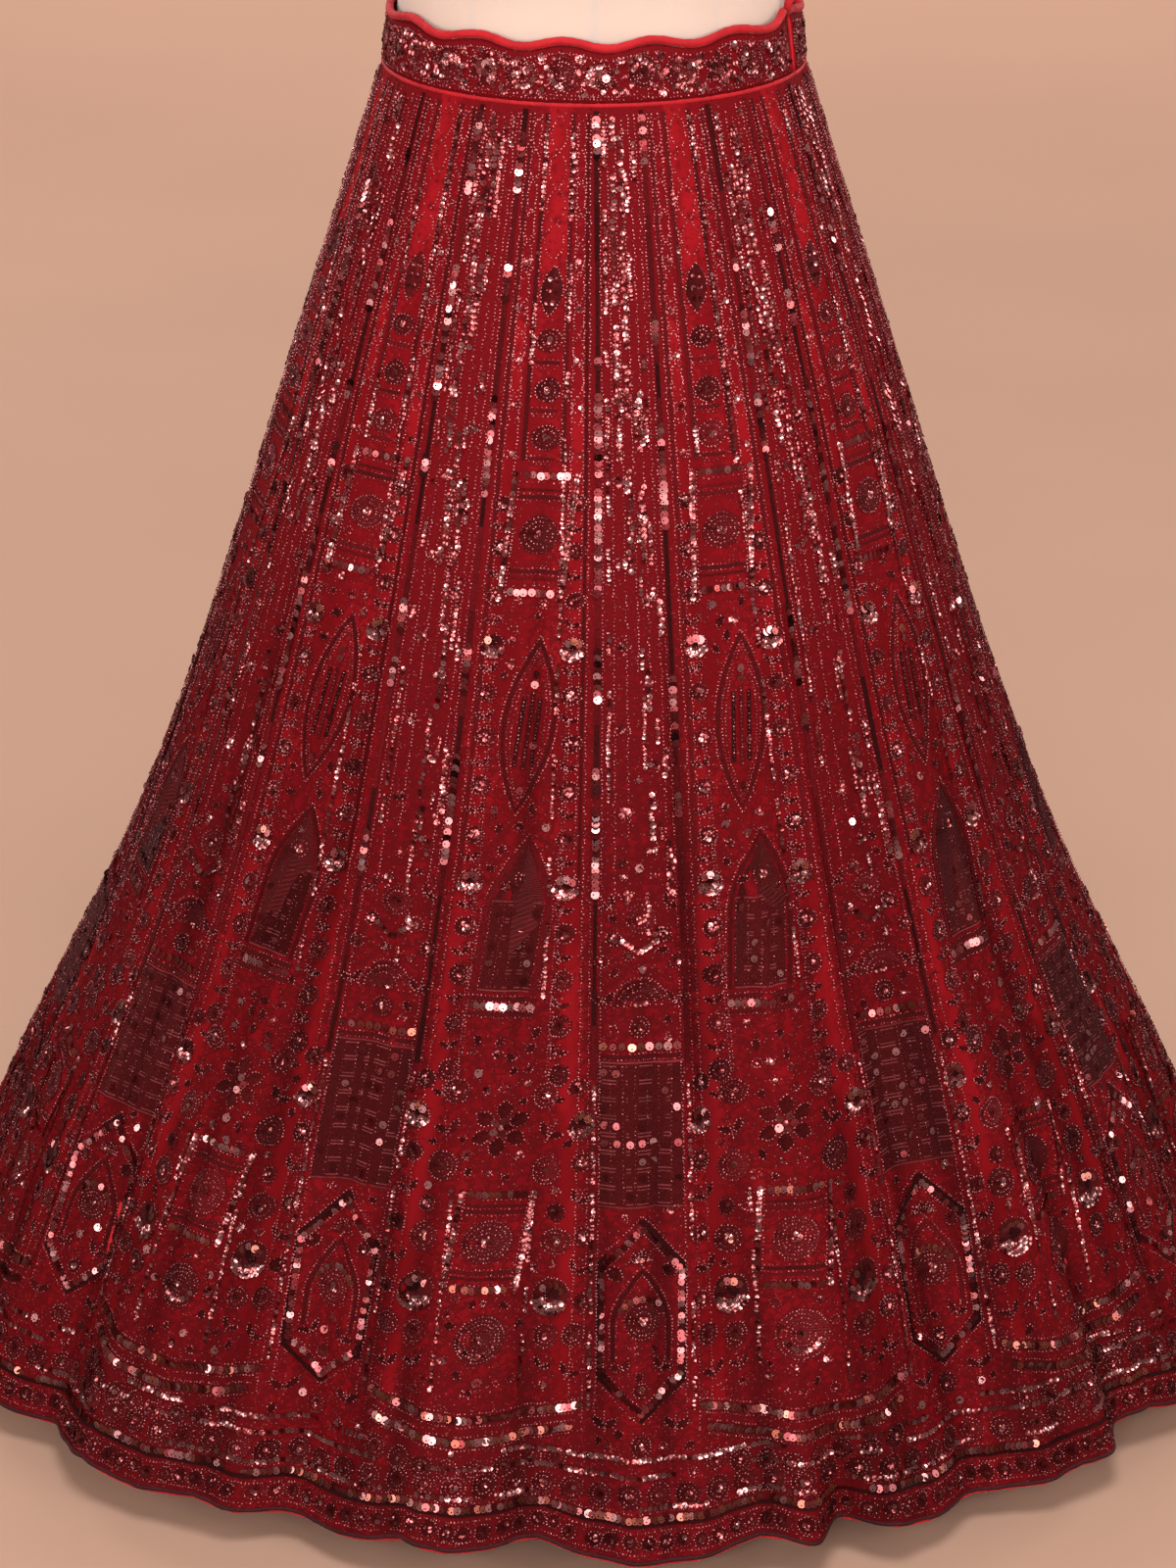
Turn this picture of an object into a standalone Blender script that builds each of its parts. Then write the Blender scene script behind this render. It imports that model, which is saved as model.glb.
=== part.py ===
"""A lehenga skirt on a limbless dress form.

The skirt is cut as twelve flared panels (kalis) sewn side by side, with a two-piece waistband that
opens at the wearer's left, a cord piping in the waist seam, another on the band's wavy top edge, a
piping round the scalloped hem and a narrow facing behind it. The form is a padded torso with a neck
cap on a round stand, and the waistband rests on its waist.

Metres, +Z up. The floor is z = 0, the front faces -Y, and the wearer's left is +X. A place on the
cloth is given by its turn, in degrees of arc from the centre front towards +X, and its drop, 0 at
the waist seam and 1 at the hem.
"""

import math

import bmesh
import bpy
from mathutils import Vector

# Seams and walls
SEAM_GAP = 0.0003
KALI_WALL = 0.0016
BAND_WALL = 0.0024
FACING_WALL = 0.0010

# Heights of the skirt
WAIST_SEAM_Z = 0.995
HEM_Z = 0.036
FRONT_DIP = 0.008
SKIRT_LENGTH = WAIST_SEAM_Z - HEM_Z

# Half the skirt's width at each drop, with no flutes. The last row carries the curve past the hem.
#       (drop, half_width)
FLARE = [
    (0.00, 0.1515),
    (0.08, 0.1762),
    (0.20, 0.2141),
    (0.35, 0.2600),
    (0.50, 0.3090),
    (0.65, 0.3655),
    (0.80, 0.4350),
    (0.90, 0.4785),
    (1.00, 0.5200),
    (1.05, 0.5400),
]
WAIST_DEPTH_SHARE = 0.76
HEM_DEPTH_SHARE = 0.88
DEPTH_POWER = 0.6

# Soft flutes that the flare falls into. A minus height is a hollow.
#       (turn, half_turn, height at the hem, drop where it starts)
FLUTES = [
    (-63.0, 10.0, 0.011, 0.45),
    (-53.5, 5.5, -0.010, 0.60),
    (-46.5, 7.0, 0.014, 0.65),
    (-40.0, 10.0, 0.013, 0.35),
    (-33.0, 5.0, 0.008, 0.60),
    (-26.5, 6.0, -0.018, 0.50),
    (-15.0, 9.0, 0.009, 0.50),
    (-5.0, 5.0, -0.008, 0.50),
    (5.0, 9.0, 0.008, 0.30),
    (23.0, 9.5, 0.021, 0.40),
    (21.7, 3.75, -0.036, 0.86),
    (35.0, 6.0, -0.016, 0.50),
    (44.0, 9.0, 0.014, 0.35),
    (52.0, 5.5, -0.014, 0.60),
    (63.0, 9.0, 0.009, 0.50),
    (82.0, 11.0, 0.006, 0.40),
    (101.0, 9.0, -0.009, 0.50),
    (118.0, 12.0, 0.015, 0.35),
    (137.0, 8.0, -0.008, 0.50),
    (152.0, 11.0, 0.013, 0.40),
    (168.0, 7.0, -0.008, 0.50),
    (184.0, 11.0, 0.015, 0.35),
    (203.0, 8.0, -0.009, 0.50),
    (221.0, 12.0, 0.014, 0.40),
    (243.0, 9.0, -0.009, 0.50),
    (262.0, 11.0, 0.010, 0.40),
    (281.0, 8.0, -0.008, 0.50),
]
FLUTE_GROWTH = 1.5

# Kalis: each seam runs down the side of an embroidered column, which widens towards the hem
KALIS = 12
KALI_TURN = 360.0 / KALIS
FIRST_COLUMN_TURN = 4.0
COLUMN_HALF_AT_WAIST = 0.0165
COLUMN_HALF_AT_HEM = 0.043
# The front panels spread sideways and the back ones crowd, most at the waist and not at all
# below SPREAD_END_DROP; cloth at SPREAD_CENTRE_TURN stays where it is.
SPREAD_TURN = 9.0
SPREAD_CENTRE_TURN = -18.0
SPREAD_END_DROP = 0.95
SPREAD_POWER = 1.2
KALI_COLUMNS = 8
KALI_ROWS = 14
KALI_ROWS_CROWD = 0.4

# Scallops of the hem: (grid column of a kali where one starts, where it ends, how far it hangs)
SCALLOPS = [
    (-1, 4, 0.0100),
    (4, 7, 0.0055),
]
SCALLOP_FADE = 6

# Waistband
BAND_HEIGHT = 0.0385
BAND_TOP_HALF_WIDTH = 0.1465
BAND_WAVES = 13
BAND_WAVE_START = -9.4
BAND_WAVE_HEIGHT = 0.0022
BAND_RIPPLE = 0.0016
BAND_STEP_TURN = 5.0
BAND_ROWS = 3
SIDE_SEAM_TURN = -90.0
PLACKET_TURN = 71.5
PLACKET_HALF_GAP_AT_SEAM = 0.0006
PLACKET_HALF_GAP_AT_TOP = 0.0050
PLACKET_LIFT = 0.0060
PLACKET_LIFT_TURN = 9.0

# Pipings
TOP_PIPING_RADIUS = 0.0029
SEAM_PIPING_RADIUS = 0.0019
HEM_PIPING_RADIUS = 0.0017
PIPING_BEVEL = 1
TOP_PIPING_STEP_TURN = 4.6
SEAM_PIPING_POINTS = 72
LOOP_RADIUS = 0.0048
LOOP_TURN = 270.0
LOOP_POINTS = 8

# Hem facing: as tall as the kalis' last row, and a little lower than the hem piping
FACING_SHOWS = 0.0030
FACING_CLEARANCE = 0.0008

# Dress form: a torso of level rings, its narrowest two just inside the waistband's top piping
FORM_CLEARANCE = 0.0006
FORM_WAIST_INSET = TOP_PIPING_RADIUS + BAND_RIPPLE + FORM_CLEARANCE
FORM_WAIST_HALF_WIDTH = BAND_TOP_HALF_WIDTH - FORM_WAIST_INSET
FORM_WAIST_HALF_DEPTH = BAND_TOP_HALF_WIDTH * WAIST_DEPTH_SHARE - FORM_WAIST_INSET
FORM_FOOT_Z = 0.780
NECK_TOP_Z = 1.520
#       (z, half_width, front, back)
TORSO = [
    (FORM_FOOT_Z, 0.140, 0.098, 0.106),
    (FORM_FOOT_Z + 0.010, 0.152, 0.108, 0.118),
    (0.830, 0.162, 0.115, 0.128),
    (0.880, 0.160, 0.115, 0.128),
    (0.935, 0.152, 0.112, 0.119),
    (0.985, 0.1445, 0.1075, 0.1090),
    (1.020, FORM_WAIST_HALF_WIDTH, FORM_WAIST_HALF_DEPTH, FORM_WAIST_HALF_DEPTH),
    (1.052, FORM_WAIST_HALF_WIDTH, FORM_WAIST_HALF_DEPTH, FORM_WAIST_HALF_DEPTH),
    (1.085, 0.1450, 0.1110, 0.1090),
    (1.130, 0.152, 0.120, 0.112),
    (1.190, 0.163, 0.136, 0.117),
    (1.245, 0.170, 0.145, 0.120),
    (1.300, 0.171, 0.134, 0.121),
    (1.350, 0.171, 0.110, 0.117),
    (1.390, 0.163, 0.088, 0.104),
    (1.418, 0.136, 0.071, 0.087),
    (1.440, 0.098, 0.060, 0.070),
    (1.460, 0.068, 0.053, 0.058),
    (1.485, 0.056, 0.051, 0.053),
    (NECK_TOP_Z, 0.053, 0.050, 0.051),
]
TORSO_SIDES = 44

# Neck cap and stand: turned profiles, (radius, z), top to bottom
NECK_CAP = [
    (0.0000, 0.0400),
    (0.0060, 0.0388),
    (0.0100, 0.0340),
    (0.0105, 0.0280),
    (0.0070, 0.0220),
    (0.0062, 0.0160),
    (0.0300, 0.0125),
    (0.0450, 0.0085),
    (0.0500, 0.0040),
    (0.0500, 0.0000),
    (0.0000, 0.0000),
]
STAND = [
    (0.0000, FORM_FOOT_Z - SEAM_GAP),
    (0.0550, FORM_FOOT_Z - SEAM_GAP),
    (0.0550, FORM_FOOT_Z - 0.0080),
    (0.0240, FORM_FOOT_Z - 0.0140),
    (0.0190, FORM_FOOT_Z - 0.0600),
    (0.0160, FORM_FOOT_Z - 0.0640),
    (0.0160, 0.0900),
    (0.0230, 0.0860),
    (0.0250, 0.0400),
    (0.0420, 0.0220),
    (0.1500, 0.0150),
    (0.2000, 0.0100),
    (0.2050, 0.0060),
    (0.2050, 0.0000),
    (0.0000, 0.0000),
]
TURNED_STEPS = 36

# Finishes: (red, green, blue), roughness, metallic
FINISHES = {
    "embroidered_net": ((0.200, 0.012, 0.018), 0.55, 0.0),
    "band_embroidery": ((0.120, 0.010, 0.014), 0.50, 0.0),
    "red_piping": ((0.520, 0.012, 0.018), 0.60, 0.0),
    "maroon_piping": ((0.070, 0.006, 0.010), 0.60, 0.0),
    "red_lining": ((0.420, 0.014, 0.020), 0.55, 0.0),
    "form_canvas": ((0.640, 0.560, 0.470), 0.85, 0.0),
    "stand_metal": ((0.550, 0.520, 0.480), 0.35, 0.8),
}


def clear_scene():
    for old in list(bpy.data.objects):
        bpy.data.objects.remove(old, do_unlink=True)


def make_material(name):
    colour, roughness, metallic = FINISHES[name]
    material = bpy.data.materials.new(name)
    material.use_nodes = True
    shader = material.node_tree.nodes["Principled BSDF"]
    shader.inputs["Base Color"].default_value = (*colour, 1.0)
    shader.inputs["Roughness"].default_value = roughness
    shader.inputs["Metallic"].default_value = metallic
    return material


def read_table(rows, place):
    """The values of a table at a place, on a smooth curve through its rows."""
    after = next((i for i, row in enumerate(rows) if row[0] >= place), len(rows) - 1)
    after = max(after, 1)
    before = after - 1
    span = rows[after][0] - rows[before][0]
    share = (place - rows[before][0]) / span

    def slope(index, column):
        low = max(index - 1, 0)
        high = min(index + 1, len(rows) - 1)
        return (rows[high][column] - rows[low][column]) / (rows[high][0] - rows[low][0])

    values = []
    for column in range(1, len(rows[0])):
        start = rows[before][column]
        end = rows[after][column]
        bend = (1 - share) * (slope(before, column) * span - (end - start))
        unbend = share * (end - start - slope(after, column) * span)
        values.append(start + share * (end - start) + share * (1 - share) * (bend + unbend))
    return values


def ring_angle(turn, half_width, half_depth):
    """The ellipse's own angle, in radians, at a turn that is measured along its arc."""
    arc = math.radians(turn)
    flatness = (half_width - half_depth) / (half_width + half_depth)
    return arc - flatness / 2 * math.sin(2 * arc)


def ring_girth(half_width, half_depth):
    flatness = (half_width - half_depth) / (half_width + half_depth)
    return math.pi * (half_width + half_depth) * (1 + flatness**2 / 4)


def outward_at(angle, half_width, half_depth):
    return Vector((math.sin(angle) / half_width, -math.cos(angle) / half_depth, 0.0)).normalized()


# ---------------------------------------------------------------- the skirt's surface


def skirt_ring(drop):
    (half_width,) = read_table(FLARE, drop)
    share = WAIST_DEPTH_SHARE + (HEM_DEPTH_SHARE - WAIST_DEPTH_SHARE) * max(drop, 0.0) ** DEPTH_POWER
    return half_width, half_width * share


def flute_swell(turn, drop):
    swell = 0.0
    for middle, half_turn, height, start in FLUTES:
        away = abs((turn - middle + 180.0) % 360.0 - 180.0) / half_turn
        if away < 1.0 and drop > start:
            grown = ((drop - start) / (1.0 - start)) ** FLUTE_GROWTH
            swell += height * grown * (1 + math.cos(math.pi * away)) / 2
    return swell


def on_skirt(turn, drop):
    half_width, half_depth = skirt_ring(drop)
    angle = ring_angle(turn, half_width, half_depth)
    dip = FRONT_DIP * math.cos(angle) * (1.0 - drop)
    place = Vector(
        (
            half_width * math.sin(angle),
            -half_depth * math.cos(angle),
            WAIST_SEAM_Z - SKIRT_LENGTH * drop - dip,
        )
    )
    return place + outward_at(angle, half_width, half_depth) * flute_swell(turn, drop)


def kali_seam_turn(kali, drop):
    """The turn of a kali's left seam, the left edge of its embroidered column, before spreading."""
    half_column = COLUMN_HALF_AT_WAIST + (COLUMN_HALF_AT_HEM - COLUMN_HALF_AT_WAIST) * drop
    offset = 360.0 * half_column / ring_girth(*skirt_ring(drop))
    return FIRST_COLUMN_TURN + kali * KALI_TURN - offset


def scallop_drop(share):
    """How far below drop 1 the hem hangs, as a drop, at a share of the way across a kali."""
    column = share * KALI_COLUMNS
    for start, end, depth in SCALLOPS:
        for shift in (-KALI_COLUMNS, 0, KALI_COLUMNS):
            along = (column - start - shift) / (end - start)
            if 0.0 <= along <= 1.0:
                return depth * 4 * along * (1 - along) / SKIRT_LENGTH
    return 0.0


def settled_turn(turn, drop):
    """The turn at which cloth lies that would be at a given turn if all panels were alike."""
    faded = max(1.0 - (max(drop, 0.0) / SPREAD_END_DROP) ** 2, 0.0) ** SPREAD_POWER
    return turn + SPREAD_TURN * faded * math.sin(math.radians(turn - SPREAD_CENTRE_TURN))


def kali_place(kali, share, fall):
    """(turn, drop) of a point of a kali: share 0 to 1 across it, fall 0 to 1 from waist to hem."""
    drop = fall * (1.0 + scallop_drop(share) * fall**SCALLOP_FADE)
    left = kali_seam_turn(kali, drop)
    return settled_turn(left + KALI_TURN * share, drop), drop


# ---------------------------------------------------------------- the waistband's surface


def band_wave(turn):
    """The top edge's wave: 1 where the edge stands highest, -1 where it is lowest and leans out."""
    return math.cos(math.radians((turn - BAND_WAVE_START) * BAND_WAVES))


def placket_lift(turn):
    """How much the front piece's end stands up at the opening."""
    away = (PLACKET_TURN - turn) / PLACKET_LIFT_TURN
    return PLACKET_LIFT * (1 - away) ** 2 if 0.0 <= away < 1.0 else 0.0


def on_band(turn, rise):
    """A point of the band's middle surface: rise 0 at the waist seam and 1 at the top edge."""
    half_width = FLARE[0][1] + (BAND_TOP_HALF_WIDTH - FLARE[0][1]) * rise
    half_depth = half_width * WAIST_DEPTH_SHARE
    angle = ring_angle(turn, half_width, half_depth)
    height = BAND_HEIGHT + BAND_WAVE_HEIGHT * band_wave(turn) + placket_lift(turn)
    place = Vector(
        (
            half_width * math.sin(angle),
            -half_depth * math.cos(angle),
            WAIST_SEAM_Z - FRONT_DIP * math.cos(angle) + height * rise,
        )
    )
    return place - outward_at(angle, half_width, half_depth) * BAND_RIPPLE * rise**2 * band_wave(turn)


def metres_to_turn(metres):
    return 360.0 * metres / ring_girth(BAND_TOP_HALF_WIDTH, BAND_TOP_HALF_WIDTH * WAIST_DEPTH_SHARE)


def placket_half_gap(rise):
    return metres_to_turn(
        PLACKET_HALF_GAP_AT_SEAM + (PLACKET_HALF_GAP_AT_TOP - PLACKET_HALF_GAP_AT_SEAM) * rise
    )


# ---------------------------------------------------------------- builders


def add_object(name, data, finish, collection):
    made = bpy.data.objects.new(name, data)
    made.data.materials.append(finish)
    collection.objects.link(made)
    return made


def shade_round(mesh):
    mesh.shade_smooth()
    mesh.set_sharp_from_angle(angle=math.radians(40.0))


def cloth_wall(name, grid, place, wall, finish, collection, closed=False, out=0.0):
    """A grid of (columns, rows) bent onto place(across, down), both 0 to 1, then thickened evenly.

    A grid that goes all round is closed. One that lies on another piece is moved out from it, or in
    where out is minus.
    """
    columns, rows = grid
    net = bmesh.new()
    bmesh.ops.create_grid(net, x_segments=columns, y_segments=rows, size=1.0)
    for point in net.verts:
        across = (point.co.x + 1.0) / 2
        down = (1.0 - point.co.y) / 2
        point.co = place(across, down)
    if closed:
        bmesh.ops.remove_doubles(net, verts=net.verts, dist=1e-6)
    if out:
        net.normal_update()
        moves = [point.normal * out * point.calc_shell_factor() for point in net.verts]
        for point, move in zip(net.verts, moves):
            point.co += move
    mesh = bpy.data.meshes.new(name)
    net.to_mesh(mesh)
    net.free()
    shade_round(mesh)
    made = add_object(name, mesh, finish, collection)
    thicken = made.modifiers.new("wall", "SOLIDIFY")
    thicken.thickness = wall
    thicken.offset = 0.0
    thicken.use_even_offset = True
    return made


def cord(name, points, radius, finish, collection, closed=False):
    """A round cord through points."""
    path = bpy.data.curves.new(name, "CURVE")
    path.dimensions = "3D"
    path.bevel_depth = radius
    path.bevel_resolution = PIPING_BEVEL
    path.use_fill_caps = not closed
    spline = path.splines.new("POLY")
    spline.points.add(len(points) - 1)
    for point, place in zip(spline.points, points):
        point.co = (*place, 1.0)
    spline.use_cyclic_u = closed
    return add_object(name, path, finish, collection)


def turned(name, profile, base_z, finish, collection):
    """A solid of revolution about Z from a profile that runs down its outer side."""
    outline = bmesh.new()
    points = [outline.verts.new((radius, 0.0, base_z + z)) for radius, z in profile]
    for upper, lower in zip(points, points[1:]):
        outline.edges.new((upper, lower))
    mesh = bpy.data.meshes.new(name)
    outline.to_mesh(mesh)
    outline.free()
    made = add_object(name, mesh, finish, collection)
    screw = made.modifiers.new("turn", "SCREW")
    screw.steps = TURNED_STEPS
    screw.render_steps = TURNED_STEPS
    screw.use_merge_vertices = True
    screw.merge_threshold = 0.00001
    screw.use_smooth_shade = True
    return made


# ---------------------------------------------------------------- the pieces


def kali_fall(down):
    """The fall of a kali's row, 0 to 1 down its cut length. The rows crowd towards the hem."""
    top_edge = (SEAM_PIPING_RADIUS + SEAM_GAP) / SKIRT_LENGTH
    bottom_edge = 1.0 - (HEM_PIPING_RADIUS + SEAM_GAP) / SKIRT_LENGTH
    crowded = down * (1.0 + KALI_ROWS_CROWD * (1.0 - down))
    return top_edge + (bottom_edge - top_edge) * crowded


def build_kali(kali, finish, collection):
    def place(across, down):
        fall = kali_fall(down)
        width = ring_girth(*skirt_ring(fall)) / KALIS
        inset = SEAM_GAP / 2 / width
        share = inset + (1 - 2 * inset) * across
        return on_skirt(*kali_place(kali, share, fall))

    name = f"kali_{kali + 1:02d}"
    return cloth_wall(name, (KALI_COLUMNS, KALI_ROWS), place, KALI_WALL, finish, collection)


def build_band(finish, collection):
    """Two pieces, joined at the wearer's right side and parted at the left by a narrow V."""
    bottom_edge = (SEAM_PIPING_RADIUS + SEAM_GAP) / BAND_HEIGHT
    side_inset = metres_to_turn(SEAM_GAP / 2)

    def front(across, down):
        rise = 1.0 + (bottom_edge - 1.0) * down
        start = SIDE_SEAM_TURN + side_inset
        end = PLACKET_TURN - placket_half_gap(rise)
        return on_band(start + (end - start) * across, rise)

    def back(across, down):
        rise = 1.0 + (bottom_edge - 1.0) * down
        start = PLACKET_TURN + placket_half_gap(rise)
        end = SIDE_SEAM_TURN + 360.0 - side_inset
        return on_band(start + (end - start) * across, rise)

    front_turn = PLACKET_TURN - SIDE_SEAM_TURN
    pieces = (
        ("waistband_front", front_turn, front),
        ("waistband_back", 360.0 - front_turn, back),
    )
    for name, turn, place in pieces:
        grid = (round(turn / BAND_STEP_TURN), BAND_ROWS)
        cloth_wall(name, grid, place, BAND_WALL, finish, collection)


def top_piping_path():
    """Round the band's top edge from the front's end to the back's, which ends in a loose loop."""
    lift = Vector((0.0, 0.0, TOP_PIPING_RADIUS + SEAM_GAP))
    gap = placket_half_gap(1.0)
    turn_round = 360.0 - 2 * gap
    steps = round(turn_round / TOP_PIPING_STEP_TURN)
    points = []
    for step in range(steps + 1):
        turn = PLACKET_TURN - gap - turn_round * step / steps
        points.append(on_band(turn, 1.0) + lift)
    along = (points[-1] - points[-2]).normalized()
    outward = along.cross(Vector((0.0, 0.0, 1.0))).normalized()
    if outward.x < 0.0:
        outward = -outward
    centre = points[-1] + Vector((0.0, 0.0, LOOP_RADIUS))
    for step in range(1, LOOP_POINTS + 1):
        angle = math.radians(LOOP_TURN * step / LOOP_POINTS)
        swing = along * math.sin(angle) - Vector((0.0, 0.0, math.cos(angle)))
        points.append(centre + swing * LOOP_RADIUS + outward * LOOP_RADIUS * step / LOOP_POINTS)
    return points


def build_pipings(red, maroon, collection):
    cord("waist_piping_top", top_piping_path(), TOP_PIPING_RADIUS, red, collection)

    seam = []
    gap = placket_half_gap(0.0) + metres_to_turn(SEAM_GAP)
    for step in range(SEAM_PIPING_POINTS + 1):
        turn = PLACKET_TURN + gap + (360.0 - 2 * gap) * step / SEAM_PIPING_POINTS
        seam.append(on_band(turn, 0.0))
    cord("waist_piping_seam", seam, SEAM_PIPING_RADIUS, red, collection)

    hem = []
    for kali in range(KALIS):
        for column in range(KALI_COLUMNS):
            hem.append(on_skirt(*kali_place(kali, column / KALI_COLUMNS, 1.0)))
    cord("hem_piping", hem, HEM_PIPING_RADIUS, maroon, collection, closed=True)


def build_facing(finish, collection):
    """A narrow ring of lining behind the hem, which shows a little below its piping."""
    inward = -(HEM_PIPING_RADIUS + FACING_CLEARANCE + FACING_WALL / 2)
    top_fall = kali_fall(1.0 - 1.0 / KALI_ROWS)

    def place(across, down):
        kali = min(int(across * KALIS + 1e-6), KALIS - 1)
        share = across * KALIS - kali
        turn, drop = kali_place(kali, share, top_fall + (1.0 - top_fall) * down)
        return on_skirt(turn, drop + FACING_SHOWS / SKIRT_LENGTH * down)

    grid = (KALIS * KALI_COLUMNS, 1)
    cloth_wall("hem_facing", grid, place, FACING_WALL, finish, collection, closed=True, out=inward)


def build_torso(finish, collection):
    """A sphere's net of rings, each ring set to a row of the table, with flat ends."""
    net = bmesh.new()
    bmesh.ops.create_uvsphere(net, u_segments=TORSO_SIDES, v_segments=len(TORSO) + 1, radius=1.0)
    for point in net.verts:
        turns = math.acos(max(-1.0, min(1.0, -point.co.z))) / math.pi * (len(TORSO) + 1)
        ring = round(turns) - 1
        z, half_width, front, back = TORSO[max(0, min(ring, len(TORSO) - 1))]
        if ring < 0 or ring >= len(TORSO):
            point.co = (0.0, 0.0, z)
            continue
        radius = math.hypot(point.co.x, point.co.y)
        sideways = point.co.x / radius
        forward = -point.co.y / radius
        reach = front if forward > 0.0 else back
        point.co = (half_width * sideways, -reach * forward, z)
    mesh = bpy.data.meshes.new("form_torso")
    net.to_mesh(mesh)
    net.free()
    shade_round(mesh)
    return add_object("form_torso", mesh, finish, collection)


def main():
    clear_scene()
    collection = bpy.data.collections.new("lehenga_skirt")
    bpy.context.scene.collection.children.link(collection)
    finishes = {name: make_material(name) for name in FINISHES}

    for kali in range(KALIS):
        build_kali(kali, finishes["embroidered_net"], collection)
    build_band(finishes["band_embroidery"], collection)
    build_pipings(finishes["red_piping"], finishes["maroon_piping"], collection)
    build_facing(finishes["red_lining"], collection)
    build_torso(finishes["form_canvas"], collection)
    turned("form_neck_cap", NECK_CAP, NECK_TOP_Z + SEAM_GAP, finishes["stand_metal"], collection)
    turned("form_stand", STAND, 0.0, finishes["stand_metal"], collection)


main()
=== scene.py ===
"""Looks of the lehenga skirt on its dress form: cloth, thread work, beads, sequins, form and light.

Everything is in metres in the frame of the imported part: +Z up, the front faces -Y, the floor is z = 0.
A place on the skirt is a turn, in degrees of arc from the centre front towards +X, and a drop, 0 at
the waist seam and 1 at the hem. What is sewn on a kali is laid out flat first, as x metres across
from the middle of its embroidered column and y metres down the cloth from the waist seam.
"""

import math

import bpy
import numpy as np
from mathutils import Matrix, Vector


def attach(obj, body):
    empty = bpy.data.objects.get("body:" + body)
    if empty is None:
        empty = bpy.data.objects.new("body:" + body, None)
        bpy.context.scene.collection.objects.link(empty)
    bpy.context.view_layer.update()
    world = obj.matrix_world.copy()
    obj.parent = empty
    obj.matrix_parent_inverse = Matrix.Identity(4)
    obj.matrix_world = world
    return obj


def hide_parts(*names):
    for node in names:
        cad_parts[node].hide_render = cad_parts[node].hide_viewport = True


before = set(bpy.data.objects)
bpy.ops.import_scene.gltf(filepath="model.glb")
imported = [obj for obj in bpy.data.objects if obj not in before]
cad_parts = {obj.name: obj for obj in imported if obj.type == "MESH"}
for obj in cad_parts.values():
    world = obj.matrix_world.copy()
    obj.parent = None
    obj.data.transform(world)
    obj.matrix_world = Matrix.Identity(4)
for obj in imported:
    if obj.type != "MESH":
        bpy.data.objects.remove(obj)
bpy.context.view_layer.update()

# ---------------------------------------------------------------- sizes shared with the solids

WAIST_SEAM_Z = 0.995
HEM_Z = 0.036
FRONT_DIP = 0.008
SKIRT_LENGTH = WAIST_SEAM_Z - HEM_Z
KALI_WALL = 0.0016
BAND_WALL = 0.0024
#       (drop, half_width)
FLARE = [
    (0.00, 0.1515),
    (0.08, 0.1762),
    (0.20, 0.2141),
    (0.35, 0.2600),
    (0.50, 0.3090),
    (0.65, 0.3655),
    (0.80, 0.4350),
    (0.90, 0.4785),
    (1.00, 0.5200),
    (1.05, 0.5400),
]
WAIST_DEPTH_SHARE = 0.76
HEM_DEPTH_SHARE = 0.88
DEPTH_POWER = 0.6
#       (turn, half_turn, height at the hem, drop where it starts)
FLUTES = [
    (-63.0, 10.0, 0.011, 0.45),
    (-53.5, 5.5, -0.010, 0.60),
    (-46.5, 7.0, 0.014, 0.65),
    (-40.0, 10.0, 0.013, 0.35),
    (-33.0, 5.0, 0.008, 0.60),
    (-26.5, 6.0, -0.018, 0.50),
    (-15.0, 9.0, 0.009, 0.50),
    (-5.0, 5.0, -0.008, 0.50),
    (5.0, 9.0, 0.008, 0.30),
    (23.0, 9.5, 0.021, 0.40),
    (21.7, 3.75, -0.036, 0.86),
    (35.0, 6.0, -0.016, 0.50),
    (44.0, 9.0, 0.014, 0.35),
    (52.0, 5.5, -0.014, 0.60),
    (63.0, 9.0, 0.009, 0.50),
    (82.0, 11.0, 0.006, 0.40),
    (101.0, 9.0, -0.009, 0.50),
    (118.0, 12.0, 0.015, 0.35),
    (137.0, 8.0, -0.008, 0.50),
    (152.0, 11.0, 0.013, 0.40),
    (168.0, 7.0, -0.008, 0.50),
    (184.0, 11.0, 0.015, 0.35),
    (203.0, 8.0, -0.009, 0.50),
    (221.0, 12.0, 0.014, 0.40),
    (243.0, 9.0, -0.009, 0.50),
    (262.0, 11.0, 0.010, 0.40),
    (281.0, 8.0, -0.008, 0.50),
]
FLUTE_GROWTH = 1.5
KALIS = 12
KALI_TURN = 360.0 / KALIS
FIRST_COLUMN_TURN = 4.0
COLUMN_HALF_AT_WAIST = 0.0165
COLUMN_HALF_AT_HEM = 0.043
SPREAD_TURN = 9.0
SPREAD_CENTRE_TURN = -18.0
SPREAD_END_DROP = 0.95
SPREAD_POWER = 1.2
KALI_COLUMNS = 8
#       (column of a kali where it starts, where it ends, how far it hangs)
SCALLOPS = [(-1, 4, 0.0100), (4, 7, 0.0055)]
SCALLOP_FADE = 6
BAND_HEIGHT = 0.0385
BAND_TOP_HALF_WIDTH = 0.1465
BAND_WAVES = 13
BAND_WAVE_START = -9.4
BAND_WAVE_HEIGHT = 0.0022
BAND_RIPPLE = 0.0016
SIDE_SEAM_TURN = -90.0
PLACKET_TURN = 71.5
PLACKET_HALF_GAP_AT_SEAM = 0.0006
PLACKET_HALF_GAP_AT_TOP = 0.0050
PLACKET_LIFT = 0.0060
PLACKET_LIFT_TURN = 9.0
TOP_PIPING_RADIUS = 0.0029
SEAM_PIPING_RADIUS = 0.0019
HEM_PIPING_RADIUS = 0.0017
SEAM_GAP = 0.0003
LOOP_RADIUS = 0.0048
LOOP_TURN = 270.0
FACING_SHOWS = 0.0030

# ---------------------------------------------------------------- sizes of the fine form

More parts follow.
